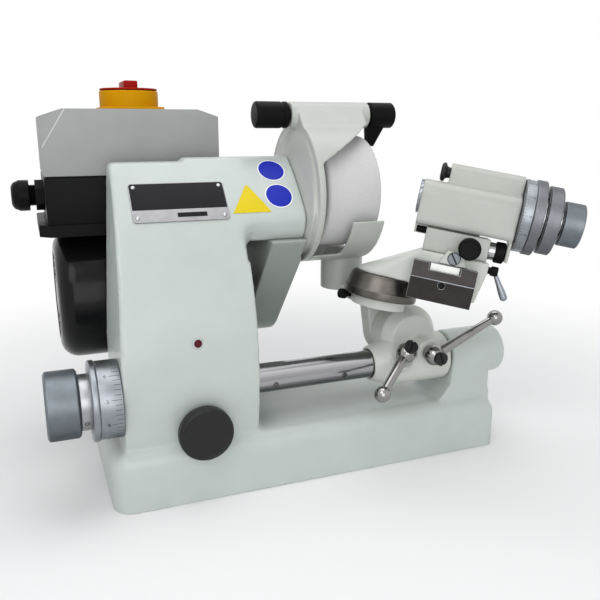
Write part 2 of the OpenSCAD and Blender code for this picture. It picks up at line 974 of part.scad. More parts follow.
// The stretched loop of the belt, in a plane whose x runs from the small pulley
// to the large one
module belt_loop(extra) {
    small_r = small_pulley_d / 2 + extra;
    large_r = large_pulley_d / 2 + extra;
    s = sin(belt_lean);
    c = cos(belt_lean);
    circle(small_r);
    translate([belt_run, 0]) circle(large_r);
    polygon([[-small_r * s, small_r * c], [belt_run - large_r * s, large_r * c],
        [belt_run - large_r * s, -large_r * c], [-small_r * s, -small_r * c]]);
}

module drive_belt() color(black) {
    translate([belt_x0, spindle_y, spindle_z])
    rotate([belt_slope, 0, 0])
    rotate([90, 0, 90])
    difference() {
        linear_extrude(belt_w) belt_loop(belt_gap + belt_t);
        translate([0, 0, -over]) linear_extrude(belt_w + 2 * over) belt_loop(belt_gap);
    }
}

// The belt guard's outline, drawn in by the given amount
module belt_guard_body(x0, x1, inset) {
    r = belt_guard_nose_r - inset;
    hull() {
        along_x(x0, motor_y, motor_z, x1 - x0, 2 * (belt_guard_r - inset), $fn = blend_fn * 2);
        along_x(x0, belt_guard_front_y, overarm_z, x1 - x0, 2 * r, $fn = blend_fn);
        along_x(x0, column_back, spindle_z + belt_guard_crown, x1 - x0, 2 * r, $fn = blend_fn);
    }
}

module belt_guard() color(paint) {
    difference() {
        belt_guard_body(belt_guard_x0, belt_guard_x1, 0);
        belt_guard_body(belt_guard_x0 + belt_guard_wall, belt_guard_x1 - belt_guard_wall, belt_guard_wall);
        block([belt_guard_x0 - over, belt_guard_front_y - guard_d, overarm_z],
            [belt_guard_x1 + over, column_back, spindle_z + guard_d]);
        along_x(belt_guard_x0 - over, motor_y, motor_z, belt_guard_wall + 2 * over, shaft_window_d);
        along_x(overarm_x1, spindle_y, spindle_z, guard_face_len, guard_d + over);
    }
}

module motor_plate() color(black) {
    difference() {
        union() {
            hull() {
                along_x(motor_x1, motor_y, motor_z, motor_plate_t, motor_d - motor_plate_t,
                    $fn = blend_fn * 2);
                block([motor_x1, column_back - plate_reach, plate_low_z],
                    [motor_x1 + motor_plate_t, column_back, plate_high_z]);
            }
            for (s = spacer_shares)
                along_x(motor_x1, motor_y + s.x * belt_guard_r, motor_z + s.y * belt_guard_r,
                    belt_guard_x0 - motor_x1, spacer_d);
        }
        along_x(motor_x1 - over, motor_y, motor_z, motor_plate_t + 2 * over, bearing_d);
    }
}

module motor_body() color(black) {
    difference() {
        union() {
            along_x(motor_x0, motor_y, motor_z, motor_len, motor_d);
            block([motor_x0 + motor_len / 2 - saddle_w / 2, motor_y - saddle_d / 2, motor_z],
                [motor_x0 + motor_len / 2 + saddle_w / 2, motor_y + saddle_d / 2, box_z]);
        }
        along_x(motor_x0 + motor_shield, motor_y, motor_z, motor_len - 2 * motor_shield,
            rotor_d + 2 * air_gap);
        for (x = [motor_x0 - over, motor_x1 - bearing_w])
            along_x(x, motor_y, motor_z, bearing_w + over, bearing_d);
        along_x(motor_x0 - over, motor_y, motor_z, motor_len + 2 * over, spindle_d + 2 * bore_clear);
    }
}

module fan_cover() color(black) {
    x1 = motor_x0 + fan_cover_lap;
    x0 = x1 - fan_cover_len;
    end_d = fan_cover_d - 2 * fan_cover_round;
    inner_d = fan_cover_d - 2 * fan_cover_wall;
    difference() {
        union() {
            along_x(x0, motor_y, motor_z, fan_cover_round, end_d, fan_cover_d);
            along_x(x0 + fan_cover_round, motor_y, motor_z, fan_cover_len - fan_cover_round, fan_cover_d);
        }
        along_x(x0 + fan_cover_wall, motor_y, motor_z, fan_cover_round, end_d - 2 * fan_cover_wall, inner_d);
        along_x(x0 + fan_cover_wall + fan_cover_round, motor_y, motor_z, fan_cover_len, inner_d);
        for (i = [0 : grille_slots - 1])
            translate([x0, motor_y, motor_z])
            rotate([i * 360 / grille_slots, 0, 0])
            block([-over, grille_hub_d / 2, -grille_slot_w / 2],
                [fan_cover_wall + over, end_d / 2 - grille_slot_w, grille_slot_w / 2]);
        along_x(motor_x0, motor_y, motor_z, fan_cover_lap + over, motor_d);
        block([x0, motor_y - box_depth / 2, box_z], [x1, motor_y + box_depth / 2, box_z + fan_cover_d]);
    }
}

// The lower half's foot, with its two left corners cut
module foot_outline() {
    x0 = box_x0 - box_foot_left;
    y0 = box_y0 - box_foot_over;
    y1 = box_y0 + box_depth + box_foot_over;
    translate([0, 0, box_z])
    linear_extrude(box_foot_h)
    polygon([[x0, y0 + box_foot_cut], [x0 + box_foot_cut, y0], [box_x1, y0], [box_x1, y1],
        [x0 + box_foot_cut, y1], [x0, y1 - box_foot_cut]]);
}

module terminal_base() color(black) {
    difference() {
        union() {
            block([box_x0, box_y0, box_z], [box_x1, box_y0 + box_depth, cover_z]);
            foot_outline();
        }
        block([box_x0 + box_wall, box_y0 + box_wall, box_z + box_wall],
            [box_x1 - box_wall, box_y0 + box_depth - box_wall, cover_z + over]);
        along_x(box_x0 - over, motor_y, gland_z, box_wall + 2 * over, gland_neck_d);
    }
}

// The cover's front view, drawn in by the given amount, in x and z
module cover_outline(inset) {
    x0 = box_x0 + inset;
    x1 = box_x1 - inset;
    top = cover_top - inset;
    polygon([[x0, cover_z], [x1, cover_z], [x1, top - cover_bevel_h], [x1 - cover_bevel_w, top],
        [x0 + cover_bevel_w, top], [x0, top - cover_bevel_h]]);
}

module switch_cover() color("#9ea0a0") {
    difference() {
        translate([0, box_y0 + box_depth, 0])
        rotate([90, 0, 0])
        linear_extrude(box_depth)
        cover_outline(0);
        translate([0, box_y0 + box_depth - box_wall, -over])
        rotate([90, 0, 0])
        linear_extrude(box_depth - 2 * box_wall)
        cover_outline(box_wall);
        block([box_x0 + box_wall, box_y0 + box_wall, cover_z - over],
            [box_x1 - box_wall, box_y0 + box_depth - box_wall, cover_z + over]);
    }
}

module cable_gland() color(black) {
    nut_half = gland_nut_len / 2;
    nut_x0 = box_x0 - gland_hex_len - gland_neck_len - gland_nut_len;
    difference() {
        union() {
            along_x(nut_x0, motor_y, gland_z, nut_half, gland_d * 2 / 3, gland_d);
            along_x(nut_x0 + nut_half, motor_y, gland_z, nut_half, gland_d);
            along_x(nut_x0 + nut_half, motor_y, gland_z,
                nut_half + gland_neck_len + gland_hex_len + 2 * box_wall, gland_neck_d);
            translate([box_x0 - gland_hex_len, motor_y, gland_z])
            rotate([0, 90, 0])
            cylinder(h = gland_hex_len, d = gland_d, $fn = 6);
        }
        along_x(nut_x0 - over, motor_y, gland_z, box_len, gland_bore_d);
    }
}

module switch_plate() color("#dc9f12") {
    difference() {
        union() {
            block([switch_x - switch_plate_w / 2, switch_y - switch_plate_w / 2, cover_top],
                [switch_x + switch_plate_w / 2, switch_y + switch_plate_w / 2, switch_body_z]);
            translate([switch_x, switch_y, cover_top])
            cylinder(h = switch_plate_t + switch_h, d = switch_d);
        }
        translate([switch_x, switch_y, switch_body_z + switch_h - handle_stem_len - gap])
        cylinder(h = handle_stem_len + gap + over, d = handle_stem_d + 2 * fit);
    }
}

module switch_handle() color("#be1a16") {
    translate([switch_x, switch_y, switch_body_z + switch_h]) {
        translate([0, 0, gap]) cylinder(h = handle_disc_t, d = switch_d - disc_step);
        translate([0, 0, -handle_stem_len]) cylinder(h = handle_stem_len + gap, d = handle_stem_d);
        block([-handle_w / 2, -handle_len / 2, gap],
            [handle_w / 2, handle_len / 2, handle_disc_t + handle_h]);
    }
}

module name_plate() color("#2a2a2c") {
    front_skin(plate_x, plate_z, 2 * skin_t)
    square([plate_w, plate_h], center = true);
}

module plate_screws() color(bright) {
    half_angle = (plate_h / 2 - screw_inset) / front_r * 180 / PI;
    middle = asin((plate_z - front_z) / front_r);
    for (x = [-1, 1], up = [-1, 1])
        on_front(plate_x + x * (plate_w / 2 - screw_inset), front_z + front_r * sin(middle + up * half_angle))
        translate([0, 0, 2 * skin_t])
        cylinder(h = plate_screw_h, d = plate_screw_d);
}

module sign_discs() color("#1e2dbe") {
    for (z = sign_zs)
        front_skin(sign_x, z, skin_t)
        circle(d = sign_d);
}

module sign_triangle() color("#e0b400") {
    front_skin(triangle_x, triangle_z, skin_t)
    rotate(90)
    circle(triangle_side / sqrt(3), $fn = 3);
}

module pilot_lens() color("#8c1212") {
    on_front(lens_x, lens_z)
    translate([0, 0, -lens_depth])
    cylinder(h = lens_depth + lens_h, d = lens_d);
}

module plain_bushes() color(bronze) {
    ring_x(column_x1 - column_bush_len, bar_y, bar_z, column_bush_len, bush_d, bar_d + 2 * fit);
    ring_x(boss_x0, bar_y, bar_z, boss_len - boss_end_wall, bush_d, bar_d + 2 * fit);
    ring_x(column_x0, bar_y, bar_z, feed_bush_len, bush_d, screw_d + 2 * fit);
}

module motor_rotor() color(steel) {
    along_x(motor_x0 - shaft_tail, motor_y, motor_z, pulley_x0 + pulley_w - motor_x0 + shaft_tail, spindle_d);
    along_x(motor_x0 + motor_shield + gap, motor_y, motor_z, motor_len - 2 * motor_shield - 2 * gap, rotor_d);
}

module cooling_fan() color(black) {
    x0 = motor_x0 - shaft_tail;
    difference() {
        union() {
            along_x(x0, motor_y, motor_z, fan_len, fan_hub_d);
            along_x(x0 + fan_len - fan_blade_t, motor_y, motor_z, fan_blade_t, fan_d);
            for (i = [0 : fan_blades - 1])
                translate([x0, motor_y, motor_z])
                rotate([i * 360 / fan_blades, 0, 0])
                block([0, fan_hub_d / 3, -fan_blade_t / 2],
                    [fan_len - fan_blade_t, fan_d / 2 - fan_blade_t, fan_blade_t / 2]);
        }
        along_x(x0 - over, motor_y, motor_z, fan_len + 2 * over, spindle_d);
    }
}

// A flat-belt pulley with two lips
module pulley(y, z, d) {
    difference() {
        union() {
            along_x(pulley_x0, y, z, pulley_w, d);
            for (x = [pulley_x0, pulley_x0 + pulley_w - pulley_lip_t])
                along_x(x, y, z, pulley_lip_t, d + 2 * pulley_lip);
        }
        along_x(pulley_x0 - over, y, z, pulley_w + 2 * over, spindle_d);
    }
}

module motor_pulley() color(steel) pulley(motor_y, motor_z, large_pulley_d);

module spindle_pulley() color(steel) pulley(spindle_y, spindle_z, small_pulley_d);

module wheel_spindle() color(bright) {
    along_x(spindle_x0, spindle_y, spindle_z, wheel_x0 - spindle_x0, spindle_d);
    along_x(wheel_x0 - flange_len, spindle_y, spindle_z, flange_len, flange_d);
    along_x(wheel_x0, spindle_y, spindle_z, wheel_back, seat_d);
    along_x(wheel_x0 + wheel_back, spindle_y, spindle_z, nut_len + gap, thread_d);
}

module grinding_wheel() color("#d8d9e2") {
    cup_d = wheel_d - 2 * wheel_wall;
    difference() {
        union() {
            along_x(wheel_x0, spindle_y, spindle_z, rim_chamfer, wheel_d - 2 * rim_chamfer, wheel_d);
            along_x(wheel_x0 + rim_chamfer, spindle_y, spindle_z, wheel_len - rim_chamfer, wheel_d);
        }
        along_x(wheel_x0 + wheel_back, spindle_y, spindle_z, wheel_len, cup_d);
        along_x(wheel_x0 - over, spindle_y, spindle_z, wheel_len, seat_d);
    }
}

module wheel_nut() color(steel) {
    x0 = wheel_x0 + wheel_back;
    difference() {
        union() {
            along_x(x0, spindle_y, spindle_z, nut_flange_len, nut_flange_d);
            translate([x0, spindle_y, spindle_z])
            rotate([0, 90, 0])
            cylinder(h = nut_len, d = nut_d, $fn = 6);
        }
        along_x(x0 - over, spindle_y, spindle_z, nut_len + 2 * over, thread_d);
    }
}

module infeed_knob() color(steel) {
    difference() {
        union() {
            grip_x(infeed_x0, bar_y, bar_z, infeed_len, infeed_d, infeed_chamfer);
            along_x(neck_x0, bar_y, bar_z, neck_len, neck_d);
            along_x(ring_x0, bar_y, bar_z, ring_len + dial_len, dial_hub_d);
        }
        along_x(dial_x1 - screw_head_len, bar_y, bar_z, screw_head_len + over, screw_d);
        along_y(neck_x0 + neck_len / 2, bar_y - neck_d, bar_z, neck_d, set_screw_d);
    }
}

module infeed_dial() color(bright) {
    difference() {
        union() {
            along_x(ring_x0, bar_y, bar_z, ring_len, ring_d);
            along_x(dial_x0, bar_y, bar_z, dial_len, dial_d);
        }
        along_x(ring_x0 - over, bar_y, bar_z, ring_len + dial_len + 2 * over, dial_hub_d);
    }
}

module feed_screw() color(steel) {
    along_x(dial_x1 - screw_head_len, bar_y, bar_z, screw_head_len + bar_x0 - dial_x1 + screw_reach, screw_d);
}

module slide_bar() color(bright) {
    run = hub_x0 - column_x1;
    difference() {
        along_x(bar_x0, bar_y, bar_z, bar_x1 - bar_x0, bar_d);
        along_x(bar_x0 - over, bar_y, bar_z, bar_screw_depth + over, screw_d + 2 * fit);
        for (s = bar_hole_shares)
            along_y(column_x1 + s * run, bar_y - bar_d / 2 - over, bar_z - bar_d / 8,
                bar_hole_depth + over, bar_hole_d);
    }
}

module lock_knob() color(black) {
    difference() {
        union() {
            along_y(lock_x, lock_y - lock_len, lock_z, lock_len, lock_d);
            along_y(lock_x, lock_y - over, lock_z, lock_stud_len - front_set, lock_stud_d);
        }
        along_y(lock_x, lock_y - lock_len - over, lock_z, lock_dish + over, lock_d / 3);
    }
}

module bracket_bush() color(bronze) {
    ring_x(hub_x0 + bush_set, bar_y, bar_z, hub_len - bush_set, bracket_bush_d, bar_d + 2 * fit);
}

module swing_bracket() color(paint) {
    difference() {
        union() {
            along_x(hub_x0, bar_y, bar_z, hub_cone_len, hub_d - hub_taper, hub_d);
            along_x(hub_x0 + hub_cone_len, bar_y, bar_z, hub_len - hub_cone_len, hub_d);
            along_y(pivot_x, pivot_y1 - pivot_boss_len, pivot_z, pivot_cone_len, pivot_boss_d - pivot_taper,
                pivot_boss_d);
            along_y(pivot_x, pivot_y1 - pivot_boss_len + pivot_cone_len, pivot_z,
                pivot_boss_len - pivot_cone_len, pivot_boss_d);
            along_y(right_lever_x, right_pad_y, right_lever_z, hub_d / 2, pad_d);
            at_left_lever() cylinder(h = left_pad_reach, d = pad_d);
        }
        along_x(hub_x0 - over, bar_y, bar_z, hub_len, bar_d + 2 * gap);
        along_x(hub_x0 + bush_set, bar_y, bar_z, hub_len - bush_set + over, bracket_bush_d + 2 * fit);
        along_y(pivot_x, pivot_y1 - pivot_pin_len - gap, pivot_z, pivot_pin_len + gap + over,
            pivot_pin_d + 2 * fit);
        along_y(right_lever_x, right_pad_y - over, right_lever_z, stud_sink + over, stud_d);
        at_left_lever()
        translate([0, 0, left_pad_reach - stud_sink])
        cylinder(h = stud_sink + over, d = stud_d);
    }
}

// The middle of each lever's ball, in the lever's own frame
module at_right_ball() {
    translate([right_lever_x, right_lever_y, right_lever_z])
    rotate([90, 0, 0])
    children();
}

module at_left_ball() {
    at_left_lever()
    translate([0, 0, left_pad_reach + ball_d / 2 + gap])
    children();
}

module clamp_studs() color(black) {
    at_right_ball() clamp_stud();
    at_left_ball() clamp_stud();
}

module lever_left() color(bright) {
    at_left_ball()
    rotate([0, 0, left_lever_angle])
    ball_lever(left_lever_len);
}

module lever_right() color(bright) {
    at_right_ball()
    rotate([0, 0, right_lever_angle])
    ball_lever(right_lever_len);
}

module swivel_post() color(paint) {
    difference() {
        union() {
            hull() {
                along_y(pivot_x, post_y0, pivot_z, post_t, pivot_boss_d, $fn = blend_fn * 2);
                on_table()
                block([post_u0, slab_back - post_t, over - slab_t], [slab_w / 2 - over, slab_back, -over]);
            }
            on_table() {
                translate([0, 0, -slab_t]) cylinder(h = slab_t, r = slab_r);
                block([-slab_w / 2, 0, -slab_t], [slab_w / 2, slab_back - over, 0]);
            }
            along_y(pivot_x, post_y0 - pivot_pin_len, pivot_z, pivot_pin_len + over, pivot_pin_d);
        }
        on_table() {
            translate([0, 0, -table_pin_len - gap])
            cylinder(h = table_pin_len + gap + over, d = table_pin_d + 2 * fit);
            along_x(-slab_r - over, table_knob_v, -slab_t / 2, table_knob_sink + over,
                table_knob_stem_d + 2 * fit);
        }
    }
}

module table_knob() color(black) {
    on_table() {
        along_x(-slab_r - table_knob_len, table_knob_v, -slab_t / 2, table_knob_len, table_knob_d);
        along_x(-slab_r - over, table_knob_v, -slab_t / 2, table_knob_sink, table_knob_stem_d);
    }
}

module turntable() color(steel) {
    in_head() {
        cylinder(h = table_band, d = table_d);
        translate([0, 0, table_band])
        cylinder(h = table_h - table_band, d1 = table_d - table_step, d2 = table_top_d);
        translate([0, 0, -table_pin_len]) cylinder(h = table_pin_len + over, d = table_pin_d);
    }
}

module head_arm() color(paint) {
    in_head()
    difference() {
        hull() {
            translate([0, 0, table_h]) cylinder(h = arm_cap_t, r = arm_cap_r, $fn = blend_fn * 2);
            block([arm_crown_u, -arm_half_w, arm_top_w - arm_crown_t], [arm_u1, arm_half_w, arm_top_w]);
            block([arm_low_u0, -arm_half_w, arm_low_w], [arm_low_u1, arm_half_w, arm_low_w + arm_low_t]);
        }
        translate([0, 0, -over]) cylinder(h = table_h + over, d = table_d + 2 * gap);
        along_x(arm_u1 - clip_sink, clip_v, clip_w, clip_sink + over, clip_pin_d + 2 * fit);
    }
}

module carriage() color(paint) {
    in_head()
    difference() {
        block([carriage_u0, -carriage_half_w, arm_top_w], [carriage_u1, carriage_half_w, carriage_top_w]);
        block([carriage_u0 - over, -key_half_w - fit, key_w],
            [carriage_u1 + over, key_half_w + fit, carriage_top_w + over]);
        along_y(feed_u, -carriage_half_w - over, feed_w, feed_shaft_len + over, feed_shaft_d + 2 * fit);
    }
}

module dovetail_rail() color(dark_steel) {
    ridge_w = rail_h * rail_ridge_share;
    in_head()
    difference() {
        translate([rail_u0, 0, rail_w0])
        rotate([90, 0, 90])
        linear_extrude(rail_len)
        polygon([[rail_back_v, 0], [rail_edge_v, 0], [rail_ridge_v, ridge_w], [rail_edge_v, rail_h],
            [rail_back_v, rail_h]]);
        block([rail_u0 + notch_inset, rail_ridge_v - over, rail_w0 + rail_h - notch_depth],
            [rail_u0 + rail_len - notch_inset, rail_back_v - scale_set, rail_w0 + rail_h + over]);
        along_y(rail_u0 + rail_len / 2, rail_ridge_v - over, rail_w0 + rail_h * rail_hole_share,
            rail_hole_depth + over, rail_hole_d);
    }
}

module rail_scale() color("#e6e8e2") {
    side = notch_inset + scale_t;
    top = rail_w0 + rail_h;
    in_head()
    block([rail_u0 + side, rail_back_v - scale_set - scale_t, top - notch_depth],
        [rail_u0 + rail_len - side, rail_back_v - scale_set, top - scale_t / 2]);
}

module pointer_plate() color(paint) {
    in_head()
    translate([pointer_u, -arm_half_w, pointer_w0])
    rotate([90, 0, 0])
    linear_extrude(pointer_t)
    polygon([[-pointer_foot / 2, 0], [pointer_foot / 2, 0], [pointer_top / 2, pointer_h],
        [-pointer_top / 2, pointer_h]]);
}

module pointer_screw() color(steel) {
    in_head()
    translate([pointer_u, -arm_half_w - pointer_t, pointer_w0 + pointer_h / 2])
    rotate([90, 0, 0])
    difference() {
        cylinder(h = pointer_screw_h, d = pointer_screw_d);
        translate([0, 0, pointer_screw_h])
        cube([2 * pointer_screw_d, stud_slot, pointer_screw_h], center = true);
    }
}

module stop_barrel() color(steel) {
    in_head()
    ring_x(carriage_u1, barrel_v, barrel_w, barrel_len, barrel_d, stop_stem_d + 2 * fit);
}

module stop_nut() color(black) {
    in_head() {
        grip_x(carriage_u1 + barrel_len, barrel_v, barrel_w, stop_nut_len, stop_nut_d, ring_chamfer);
        along_x(carriage_u1 + gap, barrel_v, barrel_w, barrel_len, stop_stem_d);
    }
}

module feed_knob() color(black) {
    in_head() {
        along_y(feed_u, -arm_half_w - feed_knob_len - pointer_t - gap, feed_w, feed_knob_len, feed_knob_d);
        along_y(feed_u, -arm_half_w - pointer_t - over, feed_w,
            feed_shaft_len + arm_half_w - carriage_half_w, feed_shaft_d);
    }
}

// The housing's end view, in v and w
module housing_profile() {
    rounded_rect([-housing_w / 2, housing_w0], [housing_w / 2, housing_w1], housing_round);
    rounded_rect([-housing_w / 2, housing_w0], [housing_w / 2, head_h], housing_low_round);
}

module spindle_housing() color(paint) {
    in_head()
    difference() {
        union() {
            translate([housing_u0, 0, 0])
            rotate([90, 0, 90])
            linear_extrude(housing_len + lug_t)
            housing_profile();
            along_x(plunger_boss_u0, 0, plunger_w, housing_u1 + lug_t - plunger_boss_u0, plunger_boss_d);
            block([plunger_boss_u0, -plunger_boss_d / 2, head_h],
                [housing_u1 + lug_t, plunger_boss_d / 2, plunger_w]);
            block([housing_u0, -key_half_w, key_w], [key_u1, key_half_w, head_h - work_d / 2]);
            block([housing_u1, barrel_v - lug_half_w, lug_w0],
                [housing_u1 + lug_t, barrel_v + lug_half_w, head_h - work_d / 2]);
        }
        along_x(housing_u0 - over, 0, head_h, housing_len + lug_t + 2 * over, work_d + 2 * fit);
        along_x(plunger_boss_u0 - over, 0, plunger_w, housing_len, plunger_rod_d + 2 * fit);
    }
}

module clip_lever() color(bright) {
    hub_u0 = arm_u1 + clip_pin_len - clip_hub_len / 2;
    in_head() {
        along_x(arm_u1 - clip_sink + gap, clip_v, clip_w, clip_sink + clip_pin_len, clip_pin_d);
        along_x(hub_u0, clip_v, clip_w, clip_hub_len, clip_hub_d);
        translate([hub_u0 + clip_hub_len / 2, clip_v, clip_w])
        rotate([0, 180 - clip_lean, 0]) {
            cylinder(h = clip_len, d1 = clip_root_d, d2 = clip_tip_d);
            translate([0, 0, clip_len]) sphere(d = clip_tip_d);
        }
    }
}

module work_spindle() color(steel) {
    in_head()
    difference() {
        union() {
            along_x(nose_u, 0, head_h, housing_u0 - nose_u, nose_d);
            along_x(housing_u0 - over, 0, head_h, housing_len + lug_t + gap + over, work_d);
            along_x(index_u0 - over, 0, head_h, hand_u1 - index_u0 + over, tail_d);
        }
        along_x(nose_u - over, 0, head_h, collet_depth + over, work_bore);
        along_x(nose_u, 0, head_h, hand_u1 - nose_u + over, draw_tube_d + 2 * fit);
    }
}

module index_ring() color(bright) {
    in_head()
    difference() {
        union() {
            along_x(index_u0, 0, head_h, index_rim_len, index_d);
            grip_x(index_u0 + index_rim_len, 0, head_h, index_knurl_len, index_knurl_d, ring_chamfer);
        }
        along_x(index_u0 - over, 0, head_h, index_rim_len + index_knurl_len + 2 * over, tail_d);
    }
}

module hand_ring() color(steel) {
    in_head()
    difference() {
        union() {
            along_x(hand_u0, 0, head_h, hand_neck_len, hand_neck_d);
            grip_x(hand_u0 + hand_neck_len, 0, head_h, hand_len, hand_d, ring_chamfer);
        }
        along_x(hand_u0 - over, 0, head_h, hand_neck_len + hand_len + 2 * over, tail_d);
    }
}

module drawbar_knob() color(steel) {
    tube_u0 = nose_u + collet_depth + gap;
    neck_u0 = hand_u1 + gap;
    in_head()
    difference() {
        union() {
            along_x(tube_u0, 0, head_h, neck_u0 - tube_u0 + over, draw_tube_d);
            along_x(neck_u0, 0, head_h, draw_neck_len, draw_neck_d);
            grip_x(neck_u0 + draw_neck_len, 0, head_h, draw_len, draw_d, ring_chamfer);
        }
        along_x(tube_u0 - over, 0, head_h, hand_u1 + draw_len, draw_bore);
    }
}

module index_plunger() color(black) {
    knob_u0 = plunger_boss_u0 - plunger_knob_len;
    in_head() {
        along_x(knob_u0, 0, plunger_w, plunger_knob_len - plunger_neck_len, plunger_knob_d);
        along_x(knob_u0, 0, plunger_w, plunger_knob_len, plunger_neck_d);
        along_x(plunger_boss_u0 - over, 0, plunger_w, index_u0 - plunger_free - plunger_boss_u0 + over,
            plunger_rod_d);
    }
}

module dresser_sleeve() color(bronze) {
    ring_x(tube_x0 + over, spindle_y, spindle_z + tube_rise, tube_x1 - tube_x0 - 2 * over,
        tube_bore - 2 * fit, shaft_d + 2 * fit);
}

module dresser_knob() color(black) {
    z = spindle_z + tube_rise;
    difference() {
        grip_x(dresser_knob_x0, spindle_y, z, dresser_knob_len, tube_d, ring_chamfer);
        ring_x(dresser_groove_x, spindle_y, z, dresser_groove_w, tube_d + over,
            tube_d - 2 * dresser_groove_t);
        along_x(dresser_knob_x1 - dresser_knob_len / 2, spindle_y, z, dresser_knob_len, shaft_d);
    }
}

module dresser_arm() color(black) {
    z = spindle_z + tube_rise;
    x0 = dresser_arm_x0;
    grip_x(x0, spindle_y, z, dresser_arm_len, tube_d, ring_chamfer);
    along_x(dresser_knob_x1 - dresser_knob_len / 2, spindle_y, z,
        x0 + over - dresser_knob_x1 + dresser_knob_len / 2, shaft_d);
    hull() {
        along_x(x0, spindle_y, z - tube_d / 4, dresser_arm_len * 2 / 3, tube_d / 2, $fn = blend_fn);
        along_x(x0, spindle_y, z - dresser_reach + finger_d / 2, finger_d, finger_d, $fn = blend_fn);
    }
    along_x(wheel_x1 + diamond_rest, spindle_y, z - dresser_reach + finger_d / 2,
        x0 - wheel_x1 - diamond_rest + over, diamond_d);
}

base_casting();
wheel_guard();
dust_chute();
ball_bearings();
drive_belt();
belt_guard();
motor_plate();
motor_body();
fan_cover();
terminal_base();
switch_cover();
cable_gland();
switch_plate();
name_plate();
plate_screws();
sign_discs();
sign_triangle();
pilot_lens();
plain_bushes();
motor_rotor();
cooling_fan();
motor_pulley();
wheel_spindle();
spindle_pulley();
grinding_wheel();
wheel_nut();
switch_handle();
infeed_knob();
infeed_dial();
feed_screw();
slide_bar();
lock_knob();
bracket_bush();
swing_bracket();
clamp_studs();
lever_left();
lever_right();
swivel_post();
table_knob();
turntable();
head_arm();
carriage();
dovetail_rail();
rail_scale();
pointer_plate();
pointer_screw();
stop_barrel();
feed_knob();
stop_nut();
spindle_housing();
clip_lever();
work_spindle();
index_ring();
hand_ring();
drawbar_knob();
index_plunger();
dresser_sleeve();
dresser_knob();
dresser_arm();
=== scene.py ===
"""Bench cutter grinder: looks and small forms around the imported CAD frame."""
import json
from math import asin, cos, pi, radians, sin, sqrt

import bmesh
import bpy
from mathutils import Matrix, Vector


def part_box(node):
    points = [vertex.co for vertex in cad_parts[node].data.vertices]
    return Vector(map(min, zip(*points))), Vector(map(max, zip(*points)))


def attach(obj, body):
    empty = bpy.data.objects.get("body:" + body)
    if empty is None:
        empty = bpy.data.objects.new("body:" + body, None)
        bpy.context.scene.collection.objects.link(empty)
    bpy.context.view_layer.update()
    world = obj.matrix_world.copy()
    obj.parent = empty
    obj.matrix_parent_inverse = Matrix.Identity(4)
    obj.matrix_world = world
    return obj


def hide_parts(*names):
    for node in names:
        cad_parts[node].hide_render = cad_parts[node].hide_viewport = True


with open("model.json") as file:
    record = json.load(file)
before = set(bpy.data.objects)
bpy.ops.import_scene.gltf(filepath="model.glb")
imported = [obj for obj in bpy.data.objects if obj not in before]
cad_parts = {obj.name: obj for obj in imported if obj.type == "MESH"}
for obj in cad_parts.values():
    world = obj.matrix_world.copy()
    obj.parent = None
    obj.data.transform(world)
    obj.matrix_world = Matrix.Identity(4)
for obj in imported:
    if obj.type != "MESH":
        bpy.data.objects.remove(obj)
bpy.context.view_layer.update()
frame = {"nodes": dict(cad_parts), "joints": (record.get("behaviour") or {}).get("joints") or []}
NODES = frame["nodes"]
JOINTS = {j["name"]: j for j in frame["joints"]}
MM = 0.001
SHARP = radians(34)
shift = Matrix.Translation


def turn(angle, axis):
    return Matrix.Rotation(angle, 4, axis)


ALONG_X = turn(pi / 2, "Y")
TO_FRONT = turn(pi / 2, "X")


# Places read from the CAD nodes, in millimetres

def span(node, axis):
    """Low and high of a CAD node along one axis."""
    low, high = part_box(node)
    return low[axis] / MM, high[axis] / MM


def middle(node, *axes):
    return tuple(sum(span(node, a)) / 2 for a in axes)


def radius(node):
    """Half the height of a node that is turned about a level axis."""
    low, high = span(node, 2)
    return (high - low) / 2


BAR = middle("slide_bar", 1, 2)
SPINDLE = middle("grinding_wheel", 1, 2)
MOTOR = middle("fan_cover", 1, 2)
DRESSER = middle("dresser_knob", 1, 2)
FRONT_R, FRONT_Z, FRONT_SET = 213.0, 100.0, 3.0
FRONT_Y = span("base_casting", 1)[0] + FRONT_SET + FRONT_R


def joint_at(name):
    return Vector(JOINTS[name]["pos_m"]) / MM


def joint_frame(along, up):
    """A frame at the joint up, with x along one joint's axis and z along the other's."""
    x, z = Vector(JOINTS[along]["axis"]), Vector(JOINTS[up]["axis"])
    return shift(joint_at(up)) @ Matrix((x, z.cross(x), z)).transposed().to_4x4()


TABLE = joint_frame("table_knob_turn", "table_turn")
HEAD = joint_frame("head_slide", "table_turn")


def in_head(name):
    """A joint's place in the head's own frame: u along the slide, v across, w up."""
    return HEAD.inverted() @ joint_at(name)


HEAD_H = in_head("work_spindle_turn").z


# Materials

def add(tree, kind, **values):
    """A new shader node with sockets set; an underscore stands for the space in a socket's name."""
    node = tree.nodes.new("ShaderNode" + kind)
    for socket, value in values.items():
        node.inputs[socket.replace("_", " ")].default_value = value
    return node


